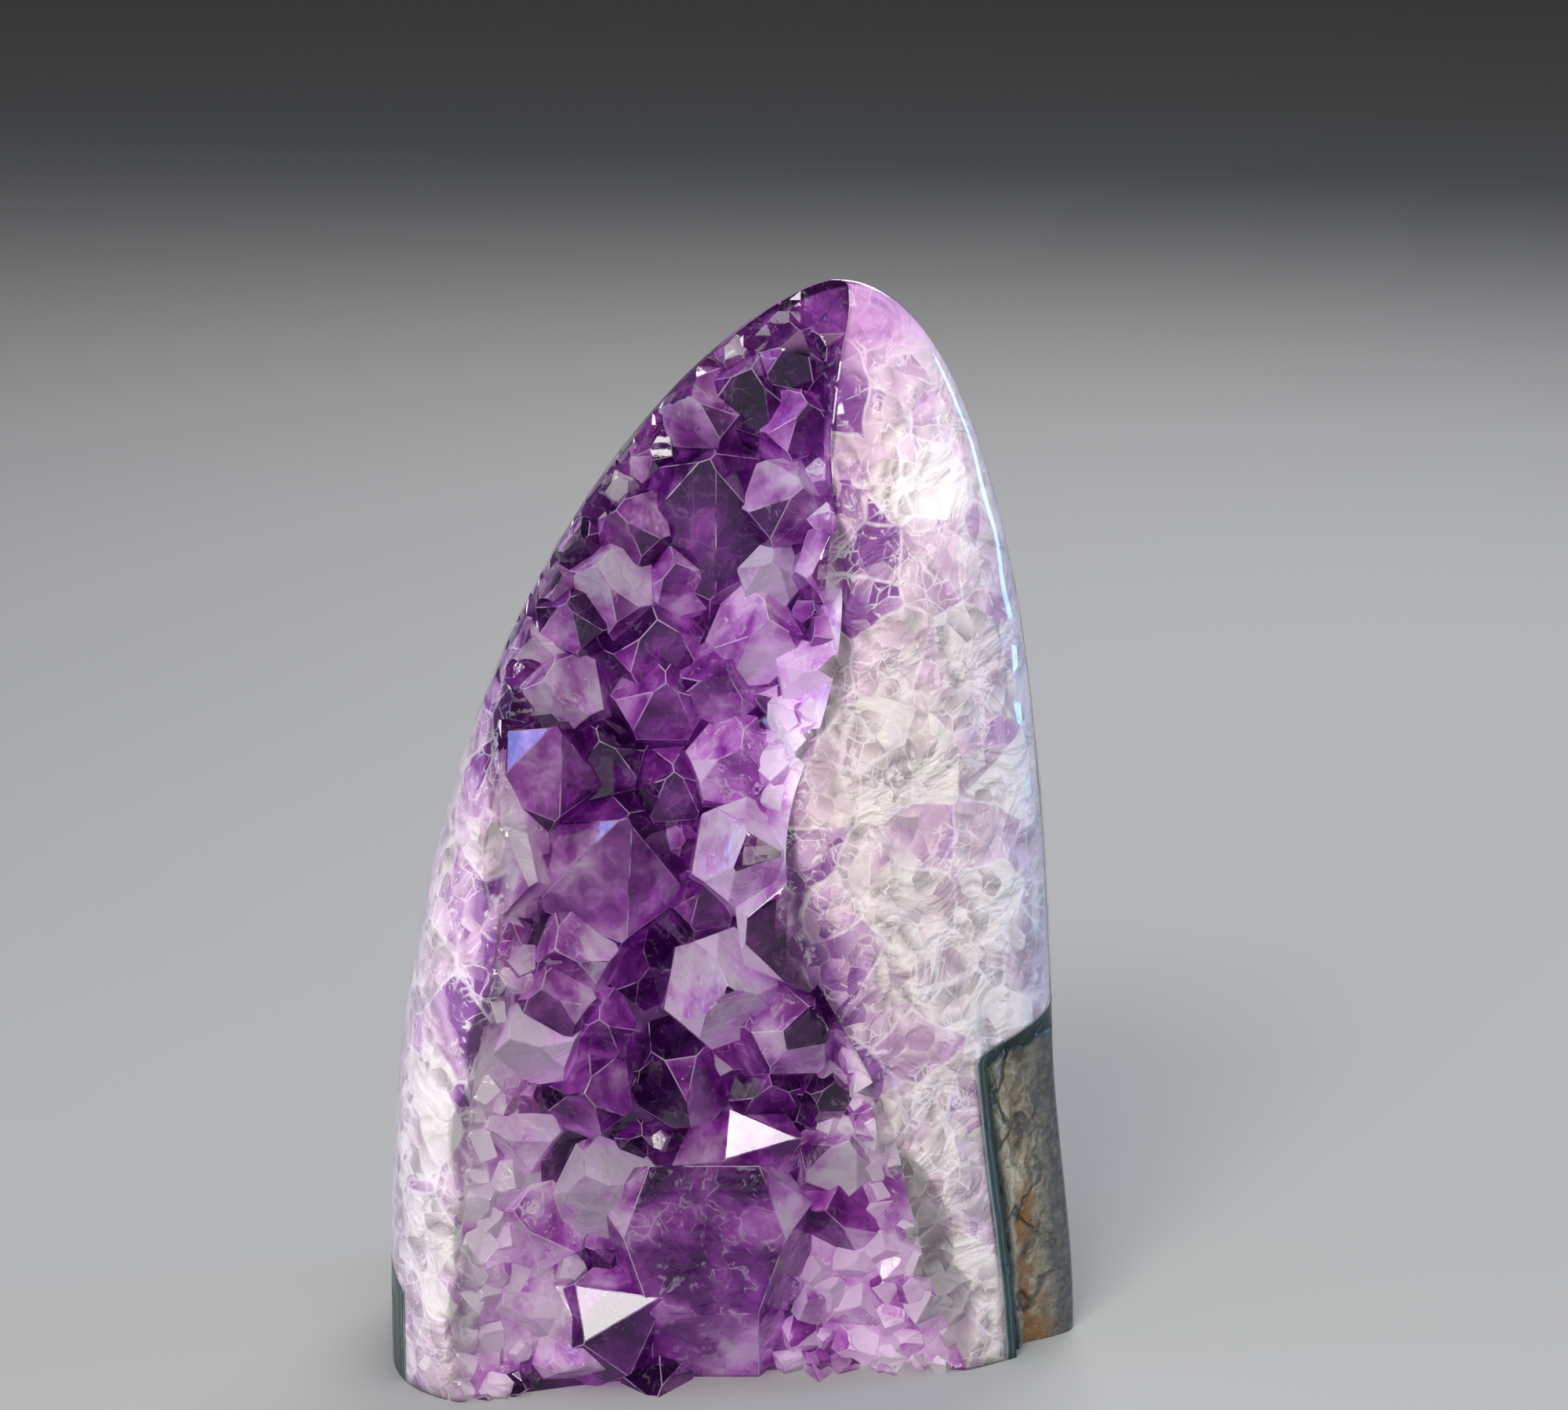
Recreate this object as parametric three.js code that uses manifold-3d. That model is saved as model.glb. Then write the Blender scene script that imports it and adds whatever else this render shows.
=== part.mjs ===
// A free-standing amethyst geode piece: a block sawn from the wall of a geode, ground and polished
// round its edges to a leaning flame outline, with the natural crystals left standing in the front.
// From the front backwards it has three layers: crystal, a thin agate rind, and the basalt host rock.
// Millimetres, +Z up, the crystals face -Y, and the flat sawn base stands on Z = 0.
import * as THREE from "three";
import { ConvexGeometry } from "three/addons/geometries/ConvexGeometry.js";
import { mergeVertices } from "three/addons/utils/BufferGeometryUtils.js";
import Module from "manifold-3d";

const wasm = await Module();
wasm.setup();

// Driving dimensions of the polished outline. Each edge starts this far from the upright line
// through the apex and closes on it at the top.
const HEIGHT = 118.3;
const APEX = { x: 10.8, y: -3 };
const LEFT = { reach: 48.8, power: 2.5, root: 1.4 };
const RIGHT = { reach: 24.7, power: 2.8, root: 2.2 };
const FRONT = { reach: 23.5, power: 2.5, root: 1.6 };
const BACK = { reach: 28.7, power: 2.6, root: 1.5 };
const FOOT_FLARE = { reach: 2.5, height: 35 };

// The section at one height: where its front ridge and its widest line lie, and how square it is.
const RIDGE_SHARE = 0.3;
const WIDEST_SHARE = 0.45;
const SQUARENESS = { frontLeft: 3.2, frontRight: 1.7, back: 2.5 };

// The band of natural crystals that the polishing left, and the trough that they stand in.
// Its middle line drifts to the apex, sways with its width, and both grow towards the foot. The tips
// and the roots lie this deep, but never deeper than a share of the thickness there.
const BAND = { x: -8.4, drift: 21, from: 62, half: 14.2, top: 113, taper: 45, fade: 8 };
const SWAY = { half: 1.8, middle: 0.8, at: 35, pitch: 50 };
const BAND_FOOT = { half: 12, middle: 6, height: 50 };
const TIPS = { depth: 6.5, footDepth: 2.5, footHeight: 20, topDepth: -2.5, share: 0.45 };
const ROOT = { depth: 6, spread: 2.5, share: 0.85, cover: 1.2 };

// The agate rind between crystal and rock, and the gap that each pair of layers keeps. The rind is
// a bowl: its bottom lies cover in front of the back, its rim at the widest line of the outline.
// At the foot it steps forward, further up on the right than on the left, and bares the rock. Its
// right rim there comes further forward with each millimetre of height.
const RIND = { thick: 2, cover: 7, rimInset: 1.5, topBack: 4 };
const RIND_STEP = { left: 12, right: 37, from: -0.2, over: 0.7, height: 4 };
const RIND_FOOT = { bottom: 2.5, leftRim: -21.8, rightRim: -22.5, rightRise: -0.1 };
const GAP = 0.3;

// The basalt: lumpy at the back, split and rough on the lower right side.
const ROCK = { lump: 1.3, behind: 5, splitDepth: 2.4, splitTop: 37, deepest: 0.4 };

// Flat breaks in the rock's back: where each lies, how deep, and how much it is skewed sideways and
// upwards against the outline there.
const BREAKS = [
  { x: -26, z: 14, deep: 1.6, skew: [-0.03, -0.01] },
  { x: -6, z: 24, deep: 1.0, skew: [-0.02, 0.03] },
  { x: 20, z: 20, deep: 1.8, skew: [0.05, 0.02] },
  { x: 32, z: 34, deep: 1.6, skew: [0.1, -0.03] },
  { x: -25, z: 42, deep: 2.4, skew: [0.06, 0.03] },
  { x: 2, z: 48, deep: 1.8, skew: [0.04, -0.03] },
  { x: 22, z: 57, deep: 2.2, skew: [-0.05, 0.03] },
  { x: -13, z: 66, deep: 2.4, skew: [-0.05, 0.02] },
  { x: 7, z: 78, deep: 1.8, skew: [0.04, 0.05] },
  { x: 26, z: 84, deep: 1.8, skew: [0.14, 0.02] },
  { x: -6, z: 90, deep: 2.0, skew: [0.08, -0.04] },
  { x: 14, z: 101, deep: 1.6, skew: [-0.06, -0.08] },
];

// Quartz angles: the tip faces lean 38.2 degrees off the crystal's own axis. Its length is in radii.
const TIP_LEAN = THREE.MathUtils.degToRad(38.2);
const CRYSTAL_LENGTH = 3.2;

// A curved sheet that parts two layers: its columns and rows, how far it reaches to each side, past
// the top and the foot, and how far back the block behind it goes.
const SHEET = { columns: 14, rows: 22, side: 46, past: 6, far: 80 };

// A repeatable run of numbers from 0 to 1.
function dice(seed) {
  let state = seed;
  return () => {
    state = (state * 48271) % 2147483647;
    return state / 2147483647;
  };
}

function smoothstep(t) {
  const c = Math.min(Math.max(t, 0), 1);
  return c * c * (3 - 2 * c);
}

// How far an edge of the outline still is from the apex line at height z.
function reachAt(edge, z) {
  return edge.reach * Math.pow(1 - Math.pow(Math.min(z / HEIGHT, 1), edge.power), 1 / edge.root);
}

// The section at height z: its four extremes, its front ridge, its back ridge and its widest line.
function sectionAt(z) {
  const flare = FOOT_FLARE.reach * smoothstep(1 - z / FOOT_FLARE.height);
  const left = APEX.x - reachAt(LEFT, z);
  const right = APEX.x + reachAt(RIGHT, z) + flare;
  const front = APEX.y - reachAt(FRONT, z);
  const back = APEX.y + reachAt(BACK, z);
  const ridge = left + RIDGE_SHARE * (right - left);
  const middle = (left + right) / 2;
  const widest = front + WIDEST_SHARE * (back - front);
  return { left, right, front, back, ridge, middle, widest };
}

// A point of the section's outline: side -1 or 1 for left or right, and turn from 0 at the widest
// line to 1 at the front or back ridge.
function outlinePoint(section, side, toBack, turn) {
  const ridge = toBack ? section.middle : section.ridge;
  const reach = side < 0 ? ridge - section.left : section.right - ridge;
  const depth = toBack ? section.back - section.widest : section.front - section.widest;
  const frontPower = side < 0 ? SQUARENESS.frontLeft : SQUARENESS.frontRight;
  const power = toBack ? SQUARENESS.back : frontPower;
  const angle = (turn * Math.PI) / 2;
  const across = Math.pow(Math.max(Math.cos(angle), 0), 2 / power);
  const along = Math.pow(Math.max(Math.sin(angle), 0), 2 / power);
  return new THREE.Vector2(ridge + side * reach * across, section.widest + depth * along);
}

// One quarter of the outline as evenly spaced points, without its last one.
function quarterOutline(section, side, toBack, fromRidge, steps) {
  const fine = 120;
  const points = [];
  for (let i = 0; i <= fine; i++) {
    const turn = fromRidge ? 1 - i / fine : i / fine;
    points.push(outlinePoint(section, side, toBack, turn));
  }
  const lengths = [0];
  for (let i = 1; i <= fine; i++) lengths.push(lengths[i - 1] + points[i].distanceTo(points[i - 1]));
  const even = [];
  let at = 0;
  for (let i = 0; i < steps; i++) {
    const goal = (lengths[fine] * i) / steps;
    while (lengths[at + 1] < goal) at++;
    const share = (goal - lengths[at]) / Math.max(lengths[at + 1] - lengths[at], 1e-9);
    even.push(points[at].clone().lerp(points[at + 1], share));
  }
  return even;
}

// The whole outline at height z, anticlockwise seen from above, starting at the right extreme.
function outlineAt(z, steps) {
  const section = sectionAt(z);
  return [
    ...quarterOutline(section, 1, true, false, steps),
    ...quarterOutline(section, -1, true, true, steps),
    ...quarterOutline(section, -1, false, false, steps),
    ...quarterOutline(section, 1, false, true, steps),
  ];
}

// Turns triangles over shared points into a manifold-3d solid.
function solidFrom(positions, triangles) {
  return new wasm.Manifold(
    new wasm.Mesh({
      numProp: 3,
      vertProperties: new Float32Array(positions),
      triVerts: new Uint32Array(triangles),
    }),
  );
}

// A closed body lofted through the outline at rising heights. carve says how far each point moves in.
function loftedBody(rings, steps, carve = () => 0) {
  const positions = [];
  const triangles = [];
  const around = 4 * steps;
  for (let i = 0; i < rings; i++) {
    const z = HEIGHT * (1 - Math.pow(1 - i / rings, 1.6));
    const section = sectionAt(z);
    for (const p of outlineAt(z, steps)) {
      const point = new THREE.Vector3(p.x, p.y, z);
      const inward = new THREE.Vector3(section.middle - p.x, section.widest - p.y, 0);
      const room = inward.length();
      inward.normalize();
      point.addScaledVector(inward, Math.min(carve(point, inward, section), ROCK.deepest * room));
      positions.push(...point.toArray());
    }
  }
  for (let i = 0; i + 1 < rings; i++) {
    for (let j = 0; j < around; j++) {
      const a = i * around + j;
      const b = i * around + ((j + 1) % around);
      triangles.push(a, b, b + around, a, b + around, a + around);
    }
  }
  const foot = positions.length / 3;
  const footSection = sectionAt(0);
  positions.push(footSection.middle, footSection.widest, 0);
  positions.push(APEX.x, APEX.y, HEIGHT);
  for (let j = 0; j < around; j++) {
    const next = (j + 1) % around;
    const top = (rings - 1) * around;
    triangles.push(foot, next, j, top + j, top + next, foot + 1);
  }
  return solidFrom(positions, triangles);
}

// Everything behind the sheet y = depthAt(x, z), as a closed block.
function blockBehind(depthAt) {
  const { columns, rows, side, past, far } = SHEET;
  const positions = [];
  const triangles = [];
  const at = (i, j, back) => (back * (rows + 1) + j) * (columns + 1) + i;
  for (const back of [0, 1]) {
    for (let j = 0; j <= rows; j++) {
      for (let i = 0; i <= columns; i++) {
        const x = side * ((2 * i) / columns - 1);
        const z = -past + ((HEIGHT + 2 * past) * j) / rows;
        positions.push(x, back ? far : depthAt(x, z), z);
      }
    }
  }
  const quad = (a, b, c, d) => triangles.push(a, b, c, a, c, d);
  for (let j = 0; j < rows; j++) {
    for (let i = 0; i < columns; i++) {
      quad(at(i, j, 0), at(i + 1, j, 0), at(i + 1, j + 1, 0), at(i, j + 1, 0));
      quad(at(i, j, 1), at(i, j + 1, 1), at(i + 1, j + 1, 1), at(i + 1, j, 1));
    }
  }
  for (let i = 0; i < columns; i++) {
    quad(at(i, 0, 0), at(i, 0, 1), at(i + 1, 0, 1), at(i + 1, 0, 0));
    quad(at(i, rows, 0), at(i + 1, rows, 0), at(i + 1, rows, 1), at(i, rows, 1));
  }
  for (let j = 0; j < rows; j++) {
    quad(at(0, j, 0), at(0, j + 1, 0), at(0, j + 1, 1), at(0, j, 1));
    quad(at(columns, j, 0), at(columns, j, 1), at(columns, j + 1, 1), at(columns, j + 1, 0));
  }
  return solidFrom(positions, triangles);
}

// The y of the polished front at (x, z).
function frontAt(x, z) {
  const height = Math.min(Math.max(z, 0), 0.995 * HEIGHT);
  const section = sectionAt(height);
  const side = x < section.ridge ? -1 : 1;
  const reach = side < 0 ? section.ridge - section.left : section.right - section.ridge;
  const power = side < 0 ? SQUARENESS.frontLeft : SQUARENESS.frontRight;
  const across = Math.min(Math.abs(x - section.ridge) / reach, 1);
  const depth = section.widest - section.front;
  return section.widest - depth * Math.pow(1 - Math.pow(across, power), 1 / power);
}

// Where (x, z) lies across the natural band: 0 on its middle line and 1 on its border.
function acrossBand(x, z, spread = 0) {
  const rise = Math.max((z - BAND.from) / BAND.from, 0);
  const sway = Math.cos((2 * Math.PI * (z - SWAY.at)) / SWAY.pitch);
  const low = smoothstep(1 - z / BAND_FOOT.height);
  const middle = BAND.x + BAND.drift * rise * rise + SWAY.middle * sway + BAND_FOOT.middle * low;
  const taper = Math.min(1, Math.sqrt(Math.max(HEIGHT - z, 1) / BAND.taper));
  const half = (BAND.half + SWAY.half * sway + BAND_FOOT.half * low) * taper;
  return Math.abs(x - middle) / (half + spread);
}

// How far behind the polished front the tips lie on the band's middle line: less at the foot, and
// outside the polish above the band's top.
function middleDepth(z) {
  const foot = TIPS.footDepth + (TIPS.depth - TIPS.footDepth) * smoothstep(z / TIPS.footHeight);
  return foot + (TIPS.topDepth - TIPS.depth) * smoothstep((z - BAND.top) / BAND.fade + 1);
}

// What the piece measures in front of its widest line at (x, z).
function thicknessAt(x, z) {
  const { widest } = sectionAt(Math.min(Math.max(z, 0), 0.995 * HEIGHT));
  return widest - frontAt(x, z);
}

// How far behind the polished front the crystal tips lie. Negative where the polish cuts them.
function tipDepth(x, z) {
  const depth = middleDepth(z) * (1 - acrossBand(x, z) ** 2);
  return Math.min(depth, TIPS.share * thicknessAt(x, z));
}

// The floor of the trough that the crystals grow from. It always covers the rind.
function rootAt(x, z) {
  const spread = 1 - acrossBand(x, z, ROOT.spread) ** 2;
  const depth = Math.min((middleDepth(z) + ROOT.depth) * spread, ROOT.share * thicknessAt(x, z));
  const covering = Math.max(rindAt(x, z) - ROOT.cover, frontAt(x, z));
  return Math.min(frontAt(x, z) + depth, covering);
}

// The front of the agate rind.
function rindAt(x, z) {
  const section = sectionAt(Math.min(Math.max(z, 0), 0.97 * HEIGHT));
  const half = (section.right - section.left) / 2;
  const across = THREE.MathUtils.clamp((x - section.middle) / half, -1.1, 1.1);
  const bottom = Math.max(section.back - RIND.cover, APEX.y + RIND.topBack);
  const rim = section.widest - RIND.rimInset + RIND.topBack * smoothstep((2 * z) / HEIGHT - 1);
  const upper = bottom + (rim - bottom) * across ** 2;
  const rightRim = RIND_FOOT.rightRim + RIND_FOOT.rightRise * Math.max(z, 0);
  const footRim = across < 0 ? RIND_FOOT.leftRim : rightRim;
  const foot = RIND_FOOT.bottom + (footRim - RIND_FOOT.bottom) * across ** 2;
  const toRight = smoothstep((across - RIND_STEP.from) / RIND_STEP.over);
  const stepAt = RIND_STEP.left + (RIND_STEP.right - RIND_STEP.left) * toRight;
  return foot + (upper - foot) * smoothstep((z - stepAt) / RIND_STEP.height + 0.5);
}

// The y of the polished back at (x, z).
function backAt(x, z) {
  const section = sectionAt(z);
  const reach = x < section.middle ? section.middle - section.left : section.right - section.middle;
  const across = Math.min(Math.abs(x - section.middle) / reach, 1);
  const share = Math.pow(1 - Math.pow(across, SQUARENESS.back), 1 / SQUARENESS.back);
  return section.widest + (section.back - section.widest) * share;
}

// The breaks as planes, each with its outward normal and its offset from the origin.
const breakPlanes = BREAKS.map(({ x, z, deep, skew }) => {
  const y = backAt(x, z);
  const slopeX = backAt(x + 1, z) - backAt(x - 1, z);
  const slopeZ = backAt(x, z + 1) - backAt(x, z - 1);
  const normal = new THREE.Vector3(skew[0] - slopeX / 2, 1, skew[1] - slopeZ / 2).normalize();
  return { normal, offset: normal.dot(new THREE.Vector3(x, y, z)) - deep };
});

// Lumps of the rock skin, from 0 to 1.
function lumps(x, y, z) {
  const broad = Math.sin(0.21 * x + 0.13 * z + 0.8) * Math.sin(0.17 * y - 0.19 * z + 1.9);
  const fine = Math.sin(0.47 * x - 0.31 * z + 2.6) * Math.sin(0.39 * z + 0.43 * y + 0.4);
  return THREE.MathUtils.clamp(0.5 + 0.38 * broad + 0.3 * fine, 0, 1);
}

// How far the rock's surface lies inside the polished outline, along inward: nothing where it was
// polished, breaks and lumps on the back, and a split scar on the lower right behind the rind.
function rockCarve(point, inward, section) {
  const { x, y, z } = point;
  let broken = 0;
  for (const { normal, offset } of breakPlanes) {
    const over = normal.dot(point) - offset;
    broken = Math.max(broken, over / Math.max(-normal.dot(inward), 0.5));
  }
  const behind = smoothstep((y - section.widest - ROCK.behind) / 8);
  const onRight = smoothstep((x - section.middle) / 10);
  const below = smoothstep((ROCK.splitTop + 2 - z) / 4);
  const ahead = smoothstep((section.widest - 1 - y) / 5);
  const scar = ROCK.splitDepth * (0.7 + 0.6 * lumps(2 * x, 2 * y, z)) * onRight * below * ahead;
  return (broken + ROCK.lump * lumps(x, y, z)) * behind + scar;
}

// The corner points of the convex body that lies behind every plane, each {normal, offset}.
function cornersOf(planes) {
  const corners = [];
  const matrix = new THREE.Matrix3();
  for (let i = 0; i < planes.length; i++) {
    for (let j = i + 1; j < planes.length; j++) {
      for (let k = j + 1; k < planes.length; k++) {
        const [a, b, c] = [planes[i], planes[j], planes[k]];
        matrix.set(...a.normal.toArray(), ...b.normal.toArray(), ...c.normal.toArray());
        if (Math.abs(matrix.determinant()) < 1e-4) continue;
        const corner = new THREE.Vector3(a.offset, b.offset, c.offset).applyMatrix3(matrix.invert());
        if (planes.every((p) => p.normal.dot(corner) <= p.offset + 1e-5)) corners.push(corner);
      }
    }
  }
  return corners;
}

// A quartz crystal: a six-sided prism of half-width radius with a six-faced tip, of which every
// other face is small. lean gives the axis as [sideways, upwards] slopes against -Y. The numbers
// are those of one row of LARGE_CRYSTALS. uneven may list all six tip faces.
function crystalSolid(x, z, out, lean, radius, spin, uneven) {
  const tip = [x, frontAt(x, z) + tipDepth(x, z) + out, z];
  const axis = new THREE.Vector3(lean[0], -1, lean[1]).normalize();
  const side = new THREE.Vector3(0, 0, 1).cross(axis).normalize();
  const up = axis.clone().cross(side);
  const planes = [{ normal: axis.clone().negate(), offset: CRYSTAL_LENGTH * radius }];
  for (let k = 0; k < 6; k++) {
    const angle = THREE.MathUtils.degToRad(spin + 60 * k);
    const outward = side.clone().multiplyScalar(Math.cos(angle)).addScaledVector(up, Math.sin(angle));
    const face = axis.clone().multiplyScalar(Math.sin(TIP_LEAN));
    face.addScaledVector(outward, Math.cos(TIP_LEAN));
    planes.push({ normal: outward, offset: radius });
    const outside = Array.isArray(uneven) ? uneven[k] : uneven * (k % 2);
    planes.push({ normal: face, offset: outside * radius });
  }
  const geometry = new ConvexGeometry(cornersOf(planes));
  geometry.deleteAttribute("normal");
  const merged = mergeVertices(geometry, 1e-4);
  const positions = [];
  const point = new THREE.Vector3();
  for (let i = 0; i < merged.attributes.position.count; i++) {
    point.fromBufferAttribute(merged.attributes.position, i);
    positions.push(point.x + tip[0], point.y + tip[1], point.z + tip[2]);
  }
  return solidFrom(positions, merged.index.array);
}

// The crystals that stand out in the front, each as: x and z of its tip, how far the tip is from the
// band's tip surface (minus is towards the viewer), lean, radius, spin in degrees, and how much its
// small tip faces lie outside the large ones, in radii. A ridged tip ends in a level edge, between
// one face that looks forward and one that looks up.
const RIDGED = [0.4, 0, 0.4, 0.4, 0, 0.4];
const LARGE_CRYSTALS = [
  [-2.2, 100.9, -3.4, [0.05, 0.85], 9.2, 0, 0.05],
  [-18, 74, -2.4, [0.35, 0.85], 6.4, 0, 0.05],
  [-10.9, 64, -3.4, [0.35, 0.85], 8.5, 0, 0.04],
  [-4.4, 29.5, -1.5, [0.1, -0.55], 5.4, 40, 0.18],
  [7.5, 27.7, 0.2, [1.06, 0.45], 5.2, 96, 0.03],
  [-3, 25.6, -2.5, [0, 1.73], 10, 30, RIDGED],
  [-7.4, 11.4, -2, [1.29, 0.92], 5.8, 101, 0.03],
  [-15.9, 4.3, -1, [0.2, -0.1], 6.6, 30, 0.18],
  [2.5, 5.1, 0.5, [0.25, -0.15], 4.8, 8, 0.18],
  [-20, 46.3, -1, [-0.2, 0.5], 4.2, 30, 0.18],
  [-14.2, 90, -0.5, [-0.2, 0.6], 4.8, 8, 0.18],
  [4.3, 90.2, -0.5, [0, 0.5], 3.6, 20, 0.12],
  [3.9, 84.4, -1.5, [0.1, 0.5], 5.4, 35, 0.18],
  [-17.3, 86.2, -0.5, [-0.1, 0.6], 3.6, 12, 0.1],
  [-7.8, 84, -1, [0.1, 0.7], 4.8, 40, 0.2],
  [-21.8, 82.4, 0, [-0.3, 0.5], 3.6, 50, 0.15],
  [-19.7, 78.3, -0.5, [-0.2, 0.5], 4.8, 15, 0.2],
  [-6.9, 77.5, -1.5, [0.1, 0.5], 4.8, 28, 0.12],
  [-0.3, 78.3, -1, [0.2, 0.4], 4.4, 5, 0.25],
  [-13.9, 71.5, -0.5, [0, 0.6], 4.4, 44, 0.15],
  [1, 71.1, -1.5, [0.1, 0.5], 4.8, 18, 0.2],
  [-6.1, 67.9, 0, [0.1, 0.6], 4, 33, 0.1],
  [2.4, 61.8, -2.5, [0.1, 0.4], 5.6, 48, 0.18],
  [6.2, 55.2, -3, [-0.1, 0.4], 6.2, 10, 0.18],
  [-0.3, 46.3, -5, [0.1, 0.3], 5.8, 48, 0.22],
  [9.2, 42.4, -1.5, [0.5, 0.4], 5, 22, 0.1],
  [-18.6, 50.2, -1, [-0.2, 0.3], 4.8, 33, 0.2],
  [-26.5, 60.8, 0.5, [-0.25, 0.4], 4.6, 18, 0.18],
  [-23.4, 41.1, 0, [-0.2, 0.25], 5.6, 42, 0.2],
  [-15.7, 34.1, -1, [0, 0.3], 4.6, 8, 0.15],
  [-8.8, 46.9, 0, [0, 0.3], 4.2, 51, 0.18],
  [-14.1, 41.7, 0, [0.1, 0.4], 3.8, 24, 0.12],
  [-15.8, 24.8, -0.5, [-0.1, 0.5], 6.4, 40, 0.15],
  [9.9, 19.9, -1, [-0.3, 0.2], 5.4, 12, 0.18],
  [17.4, 20.4, 2.2, [0.15, 0.5], 8.4, 14, 0.2],
  [-23.4, 21.2, 1.5, [-0.2, 0.4], 6.4, 5, 0.15],
  [-24.7, 10.8, 1.5, [-0.25, 0.35], 6.4, 35, 0.2],
  [13.8, 8.3, 1.5, [0.1, 0.3], 5.6, 18, 0.18],
  [22.6, 10, 2.2, [0.3, 0.35], 6.4, 48, 0.2],
  [-4.9, 107.6, -1, [-0.4, 0.6], 4.4, 30, 0.15],
  [2.1, 110, 0, [0, 0.7], 4.6, 10, 0.18],
  [8, 106.5, 0, [0.2, 0.6], 4, 44, 0.15],
  [-0.3, 112.1, 0.5, [-0.2, 0.7], 3.6, 52, 0.2],
  [7, 113.1, 0.5, [0.1, 0.7], 3.6, 16, 0.15],
  [12, 91.7, 0.8, [0.2, 0.4], 4, 38, 0.2],
  [-12.1, 95.5, 0.6, [-0.35, 0.6], 4, 20, 0.15],
  [7.5, 98.1, -0.5, [0.3, 0.5], 4.6, 34, 0.12],
  [-5.9, 89.7, -0.5, [0, 0.5], 4.4, 46, 0.18],
  [10.4, 79.9, 0.8, [0.1, 0.3], 5, 9, 0.2],
  [-26, 30.9, 1.5, [-0.2, 0.3], 5.6, 27, 0.15],
  [4.2, 33.8, 0, [0.2, 0.3], 4.4, 36, 0.2],
];

// The smaller crystals between them, scattered by size from large to small with room for each.
const SCATTER = [
  { count: 6, radius: [3.6, 4.6], room: 6.2, out: [0, 1.5] },
  { count: 10, radius: [2.4, 3.4], room: 4.4, out: [0.5, 2.5] },
];
const SCATTER_OVER = { x: [-28, 24], z: [-2, 111] };
const SCATTER_TRIES = 4000;

function scatteredCrystals() {
  const roll = dice(2207);
  const within = ([low, high]) => low + (high - low) * roll();
  const taken = LARGE_CRYSTALS.map(([x, z, , [sideways, upwards], radius]) => {
    return { x: x - 0.5 * sideways * radius, z: z - 0.5 * upwards * radius, room: 0.8 * radius };
  });
  const found = [];
  for (const size of SCATTER) {
    let placed = 0;
    for (let tries = 0; tries < SCATTER_TRIES && placed < size.count; tries++) {
      const x = within(SCATTER_OVER.x);
      const z = within(SCATTER_OVER.z);
      const radius = within(size.radius);
      const out = within(size.out);
      const lean = [within([-0.5, 0.5]), within([0, 0.8])];
      const spin = within([0, 60]);
      const uneven = within([0.05, 0.3]);
      const free = taken.every((t) => Math.hypot(t.x - x, t.z - z) > t.room + 0.5 * size.room);
      if (acrossBand(x, z, ROOT.spread) > 1 || !free) continue;
      taken.push({ x, z, room: 0.5 * size.room });
      found.push([x, z, out, lean, radius, spin, uneven]);
      placed++;
    }
  }
  return found;
}

// All the crystals and the quartz that they grow from, as one body inside the polished outline.
function crystalBody(outline) {
  const grown = [...LARGE_CRYSTALS, ...scatteredCrystals()].map((row) => crystalSolid(...row));
  const massive = blockBehind(rootAt);
  const behindRind = blockBehind((x, z) => rindAt(x, z) - GAP / 2);
  const all = wasm.Manifold.union([massive, ...grown]);
  return all.intersect(outline).subtract(behindRind);
}

// The thin agate layer that lines the rock.
function rindBody(outline) {
  const front = blockBehind((x, z) => rindAt(x, z) + GAP / 2);
  const back = blockBehind((x, z) => rindAt(x, z) + RIND.thick - GAP / 2);
  return outline.intersect(front).subtract(back);
}

// The basalt behind the rind.
function rockBody() {
  const front = blockBehind((x, z) => rindAt(x, z) + RIND.thick + GAP / 2);
  return loftedBody(26, 14, rockCarve).intersect(front);
}

// The largest connected piece of a solid, without crumbs that the cuts left.
function mainPiece(solid) {
  return solid.decompose().reduce((a, b) => (b.volume() > a.volume() ? b : a));
}

function meshFrom(name, solid, material) {
  const { numProp, numVert, vertProperties, triVerts } = mainPiece(solid).getMesh();
  const positions = new Float32Array(3 * numVert);
  for (let i = 0; i < numVert; i++) {
    positions.set(vertProperties.subarray(i * numProp, i * numProp + 3), 3 * i);
  }
  const geometry = new THREE.BufferGeometry();
  geometry.setAttribute("position", new THREE.BufferAttribute(positions, 3));
  geometry.setIndex(new THREE.BufferAttribute(triVerts, 1));
  const mesh = new THREE.Mesh(geometry, new THREE.MeshStandardMaterial(material));
  mesh.name = name;
  return mesh;
}

const polished = loftedBody(22, 10);
const geode = new THREE.Group();
geode.name = "amethyst_geode";
geode.add(
  meshFrom("amethyst_crystals", crystalBody(polished), {
    color: 0x6a2fa0,
    roughness: 0.08,
    metalness: 0,
    flatShading: true,
  }),
);
geode.add(
  meshFrom("agate_rind", rindBody(polished), { color: 0xd8d2c0, roughness: 0.2, metalness: 0 }),
);
geode.add(
  meshFrom("basalt_matrix", rockBody(), { color: 0x4d4a3c, roughness: 0.85, metalness: 0 }),
);

export default geode;
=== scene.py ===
import itertools
import math

import bmesh
import bpy
import numpy as np
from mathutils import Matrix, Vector, noise as lattice_noise


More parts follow.
